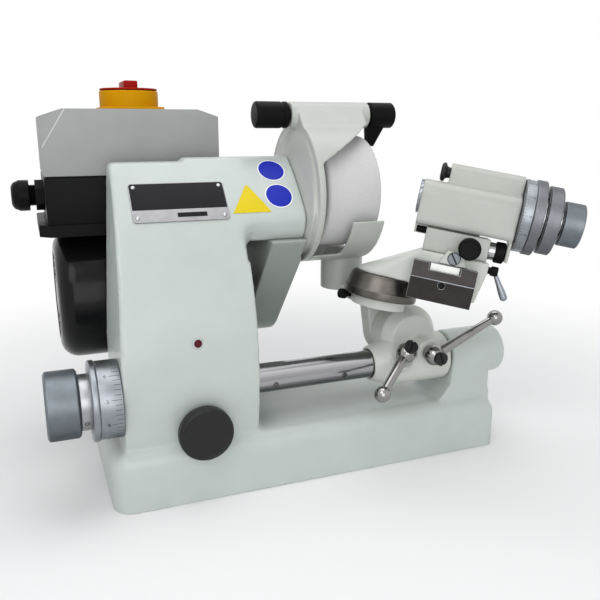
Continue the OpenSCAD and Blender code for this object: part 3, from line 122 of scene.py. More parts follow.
class Tree:
    """A material's node tree with a Principled shader and object coordinates in millimetres."""

    def __init__(self, name, base, rough, metallic=0.0, coat=0.0, specular=0.5):
        self.mat = bpy.data.materials.new(name)
        self.mat.use_nodes = True
        self.tree = self.mat.node_tree
        self.shader = self.tree.nodes["Principled BSDF"]
        self.base = base
        self.bump = None
        values = {"Base Color": (*base, 1), "Roughness": rough, "Metallic": metallic, "Coat Weight": coat,
                  "Coat Roughness": 0.12, "Specular IOR Level": specular}
        for socket, value in values.items():
            self.shader.inputs[socket].default_value = value
        self.scale = add(self.tree, "Mapping", Scale=(1 / MM, 1 / MM, 1 / MM))
        self.link(add(self.tree, "TexCoord").outputs["Object"], self.scale, "Vector")

    def link(self, value, node, socket):
        self.tree.links.new(value, node.inputs[socket])

    def texture(self, kind, stretch=None, **values):
        """A texture node in millimetres, or in those stretched along the axes."""
        source, node = self.scale, add(self.tree, kind, **values)
        if stretch:
            source = add(self.tree, "Mapping", Scale=stretch)
            self.link(self.scale.outputs["Vector"], source, "Vector")
        self.link(source.outputs["Vector"], node, "Vector")
        return node

    def noise(self, size, detail=3.0, stretch=None):
        return self.texture("TexNoise", stretch, Scale=1 / size, Detail=detail).outputs["Fac"]

    def cells(self, size):
        node = self.texture("TexVoronoi", Scale=1 / size)
        node.feature = "SMOOTH_F1"
        return node.outputs["Distance"]

    def ramp(self, value, low, high):
        """A number from low to high, steered by the middle of a texture's range."""
        node = add(self.tree, "MapRange", From_Min=0.3, From_Max=0.7, To_Min=low, To_Max=high)
        self.link(value, node, "Value")
        return node.outputs["Result"]

    def tint(self, value, low, high, from_low=0.3, from_high=0.7):
        """Colours the shader between low and high times the base, steered by a texture."""
        node = add(self.tree, "ValToRGB")
        for stop, position, times in zip(node.color_ramp.elements, (from_low, from_high), (low, high)):
            stop.position = position
            stop.color = (*[c * times for c in self.base], 1)
        self.link(value, node, "Fac")
        self.link(node.outputs["Color"], self.shader, "Base Color")

    def roughness(self, value, low, high):
        self.link(self.ramp(value, low, high), self.shader, "Roughness")

    def height(self, value, strength, distance):
        node = add(self.tree, "Bump", Strength=strength, Distance=distance * MM)
        self.link(value, node, "Height")
        if self.bump:
            self.link(self.bump.outputs["Normal"], node, "Normal")
        self.link(node.outputs["Normal"], self.shader, "Normal")
        self.bump = node


def paint(name, base):
    """Enamel over filled cast iron, with a fine orange-peel grain."""
    cloud, gloss, wave, peel = 30, 7, 14, 1.7
    t = Tree(name, base, 0.34, coat=0.15, specular=0.4)
    t.tint(t.noise(cloud, 4), 0.965, 1.025)
    t.roughness(t.noise(gloss, 4), 0.28, 0.42)
    t.height(t.noise(wave, 2), 0.2, 0.4)
    t.height(t.noise(peel, 2), 0.45, 0.13)
    return t.mat


def metal(name, base, rough, streak=None, spread=0.08, reflection_bands=None):
    """Turned, ground or drawn metal. streak stretches the grain; the last argument paints long lighter and
    darker bands, painted reflections such as a polished bar shows.
    """
    cloud, grain = 9, 0.35
    t = Tree(name, base, rough, metallic=1.0)
    # Painted reflection: long light and dark bands along the piece, as a polished bar mirrors its
    # surroundings.
    if reflection_bands:
        t.tint(t.noise(reflection_bands, 2, streak), 0.5, 1.6, 0.36, 0.64)
    else:
        t.tint(t.noise(cloud, 4), 0.88, 1.06)
    marks = t.noise(grain, 3, streak)
    t.roughness(marks, rough - spread, rough + spread)
    t.height(marks, 0.12, 0.04)
    return t.mat


def plastic(name, base, rough, specular=0.4, grain=0.6, depth=0.03):
    """Moulded plastic, smooth lacquer or rubber."""
    cloud, gloss = 18, 5
    t = Tree(name, base, rough, specular=specular)
    t.tint(t.noise(cloud, 3), 0.97, 1.03)
    t.roughness(t.noise(gloss, 4), max(rough - 0.05, 0.03), rough + 0.06)
    t.height(t.noise(grain, 2), 0.25, depth)
    return t.mat


def stone(name, base):
    """Bonded abrasive: fine grit with pores."""
    cloud, grit, pore = 0.8, 0.7, 1.6
    t = Tree(name, base, 0.88, specular=0.25)
    t.tint(t.noise(cloud, 4), 0.93, 1.05)
    t.height(t.noise(grit, 3), 0.5, 0.12)
    t.height(t.cells(pore), 0.25, 0.1)
    return t.mat


BLACK = (0.006, 0.006, 0.0065)
MIXES = {
    paint: {
        "casting_paint": [(0.515, 0.565, 0.54)],
        "head_paint": [(0.565, 0.58, 0.54)],
        # Wheel guard and chute: the grey-green enamel made darker as painted shade, for they stand at the
        # right, away from the light.
        "guard_paint": [(0.49, 0.505, 0.475)],
        # Carriage and spindle housing: the ivory head enamel made darker as painted shade, for their fronts
        # lie further from the light.
        "housing_paint": [(0.45, 0.458, 0.425)],
        # Belt cover and its lid: the enamel made darker as painted shade, for the cover lies in shadow under
        # the overarm; the pointer's painted shadow outline uses it too.
        "belt_paint": [(0.36, 0.39, 0.36)],
    },
    metal: {
        "knurled_steel": [(0.172, 0.195, 0.212), 0.45],
        "dark_knurl": [(0.185, 0.19, 0.207), 0.45],
        "bright_steel": [(0.42, 0.43, 0.44), 0.2, (0.06, 1, 1)],
        # The slide bar's steel carries painted reflection bands along its length.
        "bar_steel": [(0.36, 0.36, 0.37), 0.18, (0.002, 1, 1), 0.06, 5.0],
        "polished_steel": [(0.29, 0.285, 0.28), 0.13, None, 0.05],
        "brushed_steel": [(0.36, 0.37, 0.385), 0.34, (1, 0.2, 0.2)],
        "dial_steel": [(0.285, 0.305, 0.33), 0.36, None, 0.05],
        "turned_steel": [(0.12, 0.11, 0.10), 0.33, (1, 1, 8)],
        "blued_steel": [(0.045, 0.041, 0.04), 0.42, (0.15, 1, 1)],
        # A lighter steel for painted light on the rail's faces that look down.
        "milled_steel": [(0.12, 0.114, 0.112), 0.4, (0.15, 1, 1)],
        "bronze": [(0.45, 0.29, 0.12), 0.3],
        "scale_white": [(0.66, 0.67, 0.65), 0.5],
        "plate_metal": [(0.33, 0.33, 0.34), 0.5],
    },
    plastic: {
        "black_paint": [BLACK, 0.2, 0.16, 3.0, 0.02],
        "box_grey": [(0.33, 0.338, 0.335), 0.5, 0.3, 0.7],
        # A lighter grey for the painted highlight along the lid's cut corner.
        "box_worn": [(0.56, 0.57, 0.57), 0.4],
        "black_plastic": [BLACK, 0.36, 0.06],
        "satin_black": [(0.016, 0.016, 0.017), 0.42, 0.22],
        "belt_rubber": [(0.02, 0.02, 0.02), 0.7, 0.2, 0.4, 0.1],
        "yellow": [(0.64, 0.30, 0.002), 0.4, 0.04, 1.2],
        "red": [(0.34, 0.010, 0.007), 0.36, 0.04, 1.2],
        "lens_red": [(0.085, 0.003, 0.009), 0.16, 0.15, 2.0, 0.02],
        "blue": [(0.006, 0.018, 0.40), 0.4, 0.2, 1.5, 0.02],
        "sign_white": [(0.9, 0.9, 0.9), 0.45, 0.3, 1.5, 0.02],
        "sign_yellow": [(0.72, 0.56, 0.004), 0.4, 0.25, 1.5, 0.02],
        "ink": [(0.012, 0.012, 0.014), 0.5, 0.25, 0.8, 0.02],
        "plate_black": [(0.009, 0.009, 0.012), 0.4, 0.12, 1.0, 0.02],
    },
    stone: {"abrasive": [(0.63, 0.625, 0.63)]},
}
M = {name: make(name, *mix) for make, rows in MIXES.items() for name, mix in rows.items()}


# Mesh helpers

def linked(name, data):
    obj = bpy.data.objects.new(name, data)
    bpy.context.scene.collection.objects.link(obj)
    return obj


def place(obj, body, slot, *nodes):
    """Rides on a body and stands for CAD nodes, which it hides; slot is not used."""
    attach(obj, body)
    if nodes:
        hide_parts(*nodes)
    return obj


def finish(bm, name, mats, body, slot, *nodes, sharp=SHARP):
    """A placed piece from a bmesh in millimetres, smooth but for sharp edges."""
    bmesh.ops.remove_doubles(bm, verts=bm.verts, dist=1e-5)
    bmesh.ops.recalc_face_normals(bm, faces=bm.faces)
    bmesh.ops.scale(bm, vec=(MM, MM, MM), verts=bm.verts)
    for f in bm.faces:
        f.smooth = True
    for e in bm.edges:
        e.smooth = len(e.link_faces) == 2 and e.calc_face_angle(0) < sharp
    mesh = bpy.data.meshes.new(name)
    bm.to_mesh(mesh)
    bm.free()
    for m in mats:
        mesh.materials.append(M[m])
    return place(linked(name, mesh), body, slot, *nodes)


def soften(points, r, closed):
    """Rounds the corners of a polyline of (along, radius) points; knurl rows are kept."""
    steps, most, tiny = 3, 0.45, 1e-6
    out = []
    n = len(points)
    for i, p in enumerate(points):
        pa, pb = (Vector(q[:2]) - Vector(p[:2]) for q in (points[i - 1], points[(i + 1) % n]))
        if len(p) > 2 or (not closed and i in (0, n - 1)) or min(pa.length, pb.length) < tiny:
            out.append(p)
            continue
        d = min(r, most * pa.length, most * pb.length)
        s, e = pa.normalized() * d, pb.normalized() * d
        for k in range(steps + 1):
            t = k / steps
            q = s * (1 - t) ** 2 + e * t ** 2
            out.append((p[0] + q.x, p[1] + q.y))
    return out


def knurl(a0, a1, r, pitch, depth, diamond=True):
    """Rows of a knurled band, as profile points with their own radial pattern."""
    rows = max(2, int(round((a1 - a0) / (pitch / 2)))) if diamond else 1
    return [(a0 + (a1 - a0) * i / rows, r, depth, i if diamond else 0) for i in range(rows + 1)]


def polar(r, angle, along):
    return Vector((r * cos(angle), r * sin(angle), along))


def around(matrix, count):
    """The matrix at count even places about its z axis."""
    return [matrix @ turn(2 * pi * k / count, "Z") for k in range(count)]


def spin(bm, profile, matrix, segs=96, closed=False, r=0.0, material=0):
    """Turns a profile of (along, radius), with corners rounded by r, about the matrix's z axis."""
    rings = []
    for p in soften(profile, r, closed) if r else profile:
        if p[1] < 1e-6:
            rings.append([bm.verts.new(matrix @ Vector((0, 0, p[0])))])
            continue
        ring = []
        for k in range(segs):
            depth = p[2] * ((k + p[3]) % 2) if len(p) > 2 else 0
            ring.append(bm.verts.new(matrix @ polar(p[1] - depth, 2 * pi * k / segs, p[0])))
        rings.append(ring)
    pairs = list(zip(rings, rings[1:]))
    if closed:
        pairs.append((rings[-1], rings[0]))
    for lo, hi in pairs:
        for k in range(segs):
            j = (k + 1) % segs
            corners = (lo[k % len(lo)], lo[j % len(lo)], hi[j % len(hi)], hi[k % len(hi)])
            corners = list(dict.fromkeys(corners))
            if len(corners) > 2:
                bm.faces.new(corners).material_index = material


def near(along, r, *offsets):
    """Profile points at offsets of (along, out) from one place."""
    return [(along + a, r + out) for a, out in offsets]


def tube(a0, a1, r0, r1):
    """The profile of a plain ring, or of a plain pin where r0 is 0."""
    return [(a0, r0), (a0, r1), (a1, r1), (a1, r0)]


def lathe(name, profile, matrix, mat, body, slot, nodes=(), segs=96, closed=False, r=0.6):
    """One turned piece."""
    bm = bmesh.new()
    spin(bm, profile, matrix, segs, closed, r)
    finish(bm, name, [mat], body, slot, *nodes)


def axis_x(y, z):
    return shift((0, y, z)) @ ALONG_X


def axis_front(x, z):
    """The lathe's z runs to -Y, towards the viewer."""
    return shift((x, 0, z)) @ TO_FRONT


def head_axis(v, w):
    return HEAD @ shift((0, v, w)) @ ALONG_X


def head_front(u, w):
    return HEAD @ shift((u, 0, w)) @ TO_FRONT


def bevelled_box(bm, low, high, r, matrix=None, segments=3, material=0):
    """A block with rounded edges, in the frame of matrix."""
    low, high = Vector(low), Vector(high)
    verts = bmesh.ops.create_cube(bm, size=1)["verts"]
    for v in verts:
        v.co = Vector((low[i] + (v.co[i] + 0.5) * (high[i] - low[i]) for i in range(3)))
    edges = list({e for v in verts for e in v.link_edges})
    made = bmesh.ops.bevel(bm, geom=edges, offset=r, segments=segments, profile=0.5, affect="EDGES")
    verts = {v for f in made["faces"] for v in f.verts} | {v for v in verts if v.is_valid}
    faces = list({f for v in verts for f in v.link_faces})
    for f in faces:
        f.material_index = material
    if matrix:
        bmesh.ops.transform(bm, matrix=matrix, verts=list({v for f in faces for v in f.verts}))


def prism(bm, outline, depth, matrix, material=0):
    """Extrudes a closed outline of (x, y) along the matrix's z."""
    low = [bm.verts.new(matrix @ Vector((x, y, 0))) for x, y in outline]
    high = [bm.verts.new(matrix @ Vector((x, y, depth))) for x, y in outline]
    n = len(outline)
    faces = [bm.faces.new(low[::-1]), bm.faces.new(high)]
    for i in range(n):
        j = (i + 1) % n
        faces.append(bm.faces.new((low[i], low[j], high[j], high[i])))
    for f in faces:
        f.material_index = material


def hexagon(r):
    return [(r * cos(pi / 3 * k), r * sin(pi / 3 * k)) for k in range(6)]


def final_mesh(obj):
    """A new mesh of an object with its modifiers."""
    return bpy.data.meshes.new_from_object(obj.evaluated_get(bpy.context.evaluated_depsgraph_get()))


def stand_on_floor(mesh, depth):
    """Lengthens a casting's foot below the floor by depth, so that smoothing leaves its lower edge alone."""
    for v in mesh.vertices:
        if v.co.z < 1e-5:
            v.co.z = -depth * MM


def cut_at_floor(mesh):
    bm = bmesh.new()
    bm.from_mesh(mesh)
    geom = bm.verts[:] + bm.edges[:] + bm.faces[:]
    bmesh.ops.bisect_plane(bm, geom=geom, plane_co=(0, 0, 0), plane_no=(0, 0, -1), clear_outer=True)
    bmesh.ops.holes_fill(bm, edges=[e for e in bm.edges if e.is_boundary])
    for e in bm.edges:
        e.smooth = e.calc_face_angle(0) < 2 * SHARP
    bm.to_mesh(mesh)
    bm.free()


def cast(name, node, mat, body, voxel, smooth, keep=0.5, foot=0):
    """The CAD node's form as a casting: every edge softly rounded."""
    obj = linked(name, NODES[node].data.copy())
    if foot:
        stand_on_floor(obj.data, foot)
    cells = obj.modifiers.new("cells", "REMESH")
    cells.mode = "VOXEL"
    cells.voxel_size = voxel * MM
    rounding = obj.modifiers.new("round", "SMOOTH")
    rounding.factor = 0.5
    rounding.iterations = smooth
    fewer = obj.modifiers.new("fewer", "DECIMATE")
    fewer.ratio = keep
    old, mesh = obj.data, final_mesh(obj)
    obj.modifiers.clear()
    obj.data = mesh
    bpy.data.meshes.remove(old)
    for p in obj.data.polygons:
        p.use_smooth = True
    if foot:
        cut_at_floor(obj.data)
    obj.data.materials.clear()
    obj.data.materials.append(M[mat])
    return place(obj, body, "casting_paint", node)


def edged(name, node, mats, body, slot, width, least=0.0):
    """The CAD node's form with narrow bevels on edges longer than least, which take the last of mats.

    Of three materials, the second goes on faces that look down, as painted light on them. Where the last
    material differs from the first, it paints a highlight or a shaded outline along the edges.
    """
    bm = bmesh.new()
    bm.from_mesh(NODES[node].data)
    bmesh.ops.scale(bm, vec=(1 / MM, 1 / MM, 1 / MM), verts=bm.verts)
    bmesh.ops.remove_doubles(bm, verts=bm.verts, dist=1e-3)
    bmesh.ops.dissolve_limit(bm, angle_limit=radians(1), verts=bm.verts, edges=bm.edges)
    edges = [e for e in bm.edges
             if len(e.link_faces) == 2 and e.calc_face_angle(0) > SHARP / 2 and e.calc_length() > least]
    made = bmesh.ops.bevel(bm, geom=edges, offset=width, segments=2, profile=0.5, affect="EDGES",
                           clamp_overlap=True)
    bm.normal_update()
    for f in bm.faces:
        # Faces that look down take painted light from the second material; bevels take the last, a painted
        # highlight or shade line.
        f.material_index = 1 if len(mats) > 2 and f.normal.z < -0.1 else 0
    for f in made["faces"]:
        f.material_index = len(mats) - 1
    finish(bm, name, mats, body, slot, node, sharp=SHARP / 2)


def slotted_head(bm, matrix, r, h, slot_w, slot_d, angle, slot_material=0):
    """A screw's head with a real slot, along the matrix's z."""
    at = matrix @ turn(angle, "Z")
    n, half = 24, slot_w / 2
    start = asin(half / r)
    for side in (1, -1):
        arc = [(r * cos(t), side * r * sin(t))
               for t in [start + (pi - 2 * start) * i / n for i in range(n + 1)]]
        prism(bm, arc if side > 0 else arc[::-1], h, at)
    end = r * cos(start)
    # The slot's floor takes slot_material, which can paint the shade inside the slot.
    prism(bm, [(-end, -half), (end, -half), (end, half), (-end, half)], h - slot_d, at, slot_material)


def text_mesh(words, size):
    """Flat glyph faces of a generic number, centred, in millimetres."""
    curve = bpy.data.curves.new("number", "FONT")
    curve.body = words
    curve.size = size
    curve.align_x = "CENTER"
    curve.align_y = "CENTER"
    curve.resolution_u = 3
    obj = linked("number", curve)
    bpy.context.view_layer.update()
    mesh = final_mesh(obj)
    verts = [v.co.copy() for v in mesh.vertices]
    faces = [tuple(p.vertices) for p in mesh.polygons]
    bpy.data.objects.remove(obj)
    bpy.data.curves.remove(curve)
    bpy.data.meshes.remove(mesh)
    return verts, faces


def graduate(name, matrix, r, body, width, count, major, ends, numbers):
    """Inked marks round a dial, with a number beside each major one.

    ends has where the marks start and how far they go, the major ones last.
    numbers has where the numbers stand, their size and their step.
    """
    lift, sink, half = 0.06, 0.25, width / 2 / r
    start, *reach = ends
    along, size, step = numbers
    bm = bmesh.new()
    for i in range(count):
        angle = 2 * pi * i / count
        a0, a1 = sorted((start, reach[i % major == 0]))
        low, high = ([bm.verts.new(matrix @ polar(rr, angle + side * half, a))
                      for side, a in ((-1, a0), (1, a0), (1, a1), (-1, a1))] for rr in (r - sink, r + lift))
        bm.faces.new(low[::-1])
        bm.faces.new(high)
        for k in range(4):
            j = (k + 1) % 4
            bm.faces.new((low[k], low[j], high[j], high[k]))
    for i in range(0, count, major):
        angle = 2 * pi * i / count
        verts, faces = text_mesh(str(i // major * step), size)
        made = [bm.verts.new(matrix @ polar(r + lift, angle + v.y / r, along + v.x)) for v in verts]
        for f in faces:
            bm.faces.new([made[n] for n in f])
    finish(bm, name, ["ink"], body, "plate_black")


# Sub-parts

def slope_under(obj, weight):
    """Draws the overarm's lower front edge back, by weight(x), into a sloping face with a soft crease."""
    crease, soft, slope, under, low = 222.4, 4.0, 1.08, 203.0, 190.0
    front, deep = -50.4, 40.0
    for v in obj.data.vertices:
        x, y, z = v.co / MM
        drop = crease - z
        if drop < -soft or z < low:
            continue
        drop = min((drop + soft) ** 2 / (4 * soft) if drop < soft else drop, crease - under)
        share = min(max((front + deep - y) / deep, 0.0), 1.0)
        v.co.y += slope * drop * share * weight(x) * MM


def castings():
    """The castings, with the overarm's slope, a lid on the belt cover and a slim pivot pin on the post."""
    arm_x0, arm_x1 = -57.0, span("wheel_guard", 0)[0]
    blend, neck = 11.0, 6.5
    body = cast("casting", "base_casting", "casting_paint", "frame", 1.6, 10, 0.4, foot=12)
    slope_under(body, lambda x: min(max((x - arm_x0) / blend, 0.0), 1.0))
    # The hood and the chute take the darker enamel as painted shade.
    hood = cast("hood", "wheel_guard", "guard_paint", "frame", 0.95, 6, 0.4)
    slope_under(hood, lambda x: min(max((arm_x1 + neck - x) / neck, 0.0), 1.0))
    cast("chute", "dust_chute", "guard_paint", "frame", 0.9, 4, 0.4)
    # The belt cover and its lid take the darker enamel as painted shade.
    cast("belt_cover", "belt_guard", "belt_paint", "frame", 0.95, 4, 0.3)
    x0, x1 = span("belt_guard", 0)
    inset0, inset1, nose, back, top, thick = 1.6, 3.6, -36.6, -8.0, 202.85, 2.4
    bm = bmesh.new()
    bevelled_box(bm, (x0 + inset0, nose, top - thick), (x1 - inset1, back, top), 0.3)
    finish(bm, "belt_cover_lid", ["belt_paint"], "frame", "casting_paint")
    cast("bracket_casting", "swing_bracket", "head_paint", "bracket", 0.9, 10)
    post = cast("post_casting", "swivel_post", "head_paint", "post", 0.9, 8)
    pivot = joint_at("post_tilt")
    pin_reach, slim, shoulder = 8.0, 0.88, pivot.y - 0.1
    for v in post.data.vertices:
        out = Vector((v.co.x / MM - pivot.x, v.co.z / MM - pivot.z))
        if v.co.y / MM < shoulder and out.length < pin_reach:
            v.co.x, v.co.z = (MM * (c + slim * o) for c, o in zip((pivot.x, pivot.z), out))
    cast("arm_casting", "head_arm", "head_paint", "table", 0.9, 10)
    # The carriage and the housing take the darker head enamel as painted shade.
    cast("carriage_casting", "carriage", "housing_paint", "table", 0.8, 5)
    cast("housing_casting", "spindle_housing", "housing_paint", "headstock", 0.8, 4)


def infeed_wheel():
    """The knurled infeed knob, its graduated drum and the drum's rim."""
    axis = axis_x(*BAR)
    segs, edge, neck_len, neck_r, hub_r, rim_len, step = 288, 2.0, 8.0, 22.0, 12.0, 5.5, 1.0
    x0, x1 = span("infeed_knob", 0)
    rim_x0 = span("infeed_dial", 0)[0]
    r, rim_r = radius("infeed_knob"), radius("infeed_dial")
    neck_x, drum_x, drum_r = rim_x0 - neck_len, rim_x0 + rim_len, rim_r - step
    lathe("infeed_grip", [(x0, 0), (x0, r - 1.2 * edge), (x0 + 0.6 * edge, r - 0.3 * edge)]
          + knurl(x0 + edge, neck_x - edge, r, 1.18, 0.34)
          + [(neck_x - 0.6 * edge, r - 0.3 * edge), (neck_x, r - 1.1 * edge), (neck_x, neck_r),
             (rim_x0, neck_r), (rim_x0, hub_r), (x1, hub_r), (x1, 0)],
          axis, "knurled_steel", "infeed", "knurled_steel", ["infeed_knob"], segs, r=0.8)
    screw_r, socket_r = 1.9, 1.1
    across = shift((neck_x + neck_len / 2, *BAR)) @ turn(radians(118), "X")
    lathe("infeed_set_screw", near(neck_r, 0, (-1.5, 0), (-1.5, screw_r), (0.06, screw_r), (0.06, socket_r),
                                   (-0.8, socket_r), (-0.8, 0)),
          across, "ink", "infeed", "black_plastic", segs=24, r=0.1)
    inner = hub_r + 0.05
    lathe("infeed_rim", [(rim_x0, inner), (rim_x0, rim_r - step), (rim_x0 + step, rim_r),
                         (drum_x - step, rim_r), (drum_x, rim_r - step), (drum_x, inner)],
          axis, "dial_steel", "infeed", "knurled_steel", segs=segs, closed=True, r=0.5)
    lathe("infeed_neck", tube(neck_x, rim_x0, neck_r - 0.3, neck_r + 0.05), axis, "brushed_steel", "infeed",
          "bright_steel", segs=120, closed=True, r=0.02)
    lathe("infeed_drum", tube(drum_x, x1, inner, drum_r), axis, "dial_steel", "infeed", "bright_steel",
          ["infeed_dial"], segs, True, 0.35)
    graduate("infeed_marks", axis, drum_r, "infeed", 0.32, 50, 5, (x1 - 0.8, x1 - 6.0, x1 - 8.5),
             (x1 - 11.5, 4.2, 1))


def front_clamp():
    """The black clamp knob on the front: a dished disc on its stud."""
    x, z = middle("lock_knob", 0, 2)
    back, face = (-a for a in reversed(span("lock_knob", 1)))
    r, stud_r, rim, dish, length = radius("lock_knob"), 6.0, 2.4, 0.5, 10.0
    lathe("lock_disc", [(back, 0), (back, stud_r), (face - length, stud_r)]
          + near(face, r, (-length, -0.8), (1.1 - length, 0), (-rim, 0), (-0.8, -0.8), (0, -rim),
                 (-dish, -rim - 0.8), (-dish, -r)),
          axis_front(x, z), "satin_black", "lock", "black_plastic", ["lock_knob"], 128, r=0.8)


def front_at(x, s, mid, lift=0.0):
    """A frame at arc length s above the height mid on the curved front: y up the curve, z outwards."""
    lean = asin((mid - FRONT_Z) / FRONT_R) + s / FRONT_R
    r = FRONT_R + lift
    where = shift((x, FRONT_Y - r * cos(lean), FRONT_Z + r * sin(lean)))
    return where @ turn(pi / 2 - lean, "X")


def front_sheet(bm, spans, mid, low, high, material):
    """A thin sheet on the curved front, from spans of (s, left x, right x)."""
    rows = [[bm.verts.new(front_at(x, s, mid, h).translation) for h in (low, high) for x in (a, b)]
            for s, a, b in spans]
    faces = []
    for p, q in zip(rows, rows[1:]):
        faces += [(p[2], p[3], q[3], q[2]), (p[1], p[0], q[0], q[1]),
                  (p[0], p[2], q[2], q[0]), (p[3], p[1], q[1], q[3])]
    p, q = rows[0], rows[-1]
    faces += [(p[0], p[1], p[3], p[2]), (q[1], q[0], q[2], q[3])]
    for f in faces:
        bm.faces.new(f).material_index = material


def rounded_spans(w, low, high, r, x, round_low=True):
    """Spans of a sheet with rounded corners; its lower corners may stay square."""
    steps, rows = 5, 8
    half = w / 2
    arc = [(pi / 2 * i / steps) for i in range(steps + 1)]
    spans = [(low, x - half, x + half)]
    if round_low:
        spans = [(low + r - r * cos(t), x - half + r - r * sin(t), x + half - r + r * sin(t))
                 for t in arc]
    start, stop = spans[-1][0], high - r
    spans += [(start + (stop - start) * i / rows, x - half, x + half) for i in range(1, rows + 1)]
    spans += [(stop + r * sin(t), x - half + r - r * cos(t), x + half - r + r * cos(t))
              for t in arc[1:]]
    return spans


def disc_spans(r, x):
    n = 28
    turns = [pi * i / n for i in range(1, n)]
    return [(-r * cos(t), x - r * sin(t), x + r * sin(t)) for t in turns]


def triangle_spans(side, x, inset):
    """An upright triangle about its middle, drawn in by inset, from its foot up."""
    n = 24
    inner = side / (2 * sqrt(3)) - inset
    half = inner * sqrt(3)
    return [(-inner + 3 * inner * i / n, x - half * (1 - i / n), x + half * (1 - i / n)) for i in range(n)]


def front_plates():
    """The bare nameplate, the signs and the lens on the curved front."""
    x0, x1 = span("name_plate", 0)
    x, w, h, z = (x0 + x1) / 2, x1 - x0, 37.0, 238.0
    corner, frame_w, band, thick, ink = 3.0, 0.7, 11.0, 1.1, 0.12
    gap, sheet, colour, disc_z, triangle_z = 0.02, 0.5, 0.6, (239.5, 259.5), 235.0
    bm = bmesh.new()
    front_sheet(bm, rounded_spans(w, -h / 2, h / 2, corner, x), z, gap, thick, 0)
    dark = rounded_spans(w - 2 * frame_w, band - h / 2, h / 2 - frame_w, corner - frame_w, x, False)
    front_sheet(bm, dark, z, thick, thick + ink, 1)
    field_w, field_h, field_x, field_s = 24.0, 4.0, x + 8.5, 3.6 - h / 2
    field = [(field_s + field_h * i / 2, field_x - field_w / 2, field_x + field_w / 2) for i in range(3)]
    front_sheet(bm, field, z, thick, thick + ink, 1)
    finish(bm, "bare_plate", ["plate_metal", "plate_black"], "frame", "plate_black", "name_plate")
    inset = 4.0
    bm = bmesh.new()
    for across in (-1, 1):
        for up in (-1, 1):
            at = front_at(x + across * (w / 2 - inset), up * (h / 2 - inset), z, thick)
            spin(bm, [(-0.2, 1.75), (0.35, 1.7), (0.75, 1.2), (0.9, 0.5), (0.9, 0)], at, 24)
    finish(bm, "plate_rivets", ["bright_steel"], "frame", "bright_steel", "plate_screws")

    sign_x, rim = middle("sign_discs", 0)[0], 0.9
    x0, x1 = span("sign_discs", 0)
    r = (x1 - x0) / 2 + 0.7
    bm = bmesh.new()
    for sign_z in disc_z:
        front_sheet(bm, disc_spans(r, sign_x), sign_z, gap, sheet, 0)
        front_sheet(bm, disc_spans(r - rim, sign_x), sign_z, sheet, colour, 1)
    finish(bm, "bare_discs", ["sign_white", "blue"], "frame", "blue", "sign_discs")

    x0, x1 = span("sign_triangle", 0)
    bm = bmesh.new()
    front_sheet(bm, triangle_spans(x1 - x0, (x0 + x1) / 2, 0), triangle_z, gap, sheet, 0)
    finish(bm, "bare_triangle", ["sign_yellow"], "frame", "sign_yellow", "sign_triangle")

    lens_z, lens_r, lens_h, depth, ring_r = 132.7, 3.0, 2.0, 5.0, 4.3
    lens = front_at(middle("pilot_lens", 0)[0], 0, lens_z)
    lathe("lens_dome", [(-depth, 0), (-depth, lens_r), (0.3 * lens_h, lens_r), (0.7 * lens_h, 0.83 * lens_r),
                        (0.95 * lens_h, 0.45 * lens_r), (lens_h, 0)],
          lens, "lens_red", "frame", "red", ["pilot_lens"], 40, r=0.3)
    lathe("lens_ring", [(-1.0, lens_r + 0.05), (0.5, lens_r + 0.05), (0.9, (lens_r + ring_r) / 2),
                        (0.5, ring_r), (-1.0, ring_r)],
          lens, "casting_paint", "frame", "casting_paint", segs=48, closed=True, r=0.2)


def box_cover():
    """The grey cover: bevelled to both sides, its front left corner cut."""
    (x0, x1), (y0, y1), (z0, z1) = (span("switch_cover", a) for a in range(3))
    bevel_w, bevel_h, cut_x, cut_y, cut_h, seam = 18.0, 6.0, 20.0, 26.0, 31.0, 0.8
    top = [(x0 + bevel_w, y1), (x0 + bevel_w, y0 + 3), (x0 + cut_x, y0), (x1 - bevel_w, y0),
           (x1 - bevel_w, y1)]
    side = [(x0, y1), (x0, y0 + cut_y), (x1, y0), (x1, y1)]
    points = [(x, y, z1) for x, y in top] + [(x, y, z1 - bevel_h) for x, y in side]
    points += [(x, y, z0 + seam) for x in (x0, x1) for y in (y0, y1)] + [(x0, y0, z1 - cut_h)]
    bm = bmesh.new()
    bmesh.ops.convex_hull(bm, input=[bm.verts.new(p) for p in points])
    bmesh.ops.dissolve_limit(bm, angle_limit=radians(1), verts=bm.verts, edges=bm.edges)
    made = bmesh.ops.bevel(bm, geom=bm.edges[:], offset=0.8, segments=2, profile=0.5, affect="EDGES")
    bm.normal_update()
    for f in made["faces"]:
        # The bevel along the cut corner's facet takes the lighter grey as a painted highlight on that edge.
        lit_edge = f.normal.x < -0.12 and f.normal.y < -0.8 and 0.08 < f.normal.z < 0.4
        f.material_index = 1 if lit_edge else 0
    finish(bm, "lid", ["box_grey", "box_worn"], "frame", "box_grey", "switch_cover")


def box_base():
    """The black lower half, its foot and the lip that the cover sits over."""
    (x0, x1), (y0, y1) = (span("switch_cover", a) for a in range(2))
    z0, z1 = span("terminal_base", 2)
    foot_x0 = span("terminal_base", 0)[0]
    lip, foot_h, foot_cut, foot_over = 1.2, 10.0, 9.0, 2.0
    bm = bmesh.new()
    bevelled_box(bm, (x0, y0, z0 + 1), (x1, y1, z1), 1.4)
    bevelled_box(bm, (x0 + lip, y0 + lip, z1 - lip), (x1 - lip, y1 - lip, z1 + lip), 0.2)
    a, b = y0 - foot_over, y1 + foot_over
    foot = [(foot_x0, a + foot_cut), (foot_x0 + foot_cut, a), (x1, a), (x1, b), (foot_x0 + foot_cut, b),
            (foot_x0, b - foot_cut)]
    prism(bm, foot, foot_h, shift((0, 0, z0)))
    finish(bm, "box_base", ["black_plastic"], "frame", "black_plastic", "terminal_base")


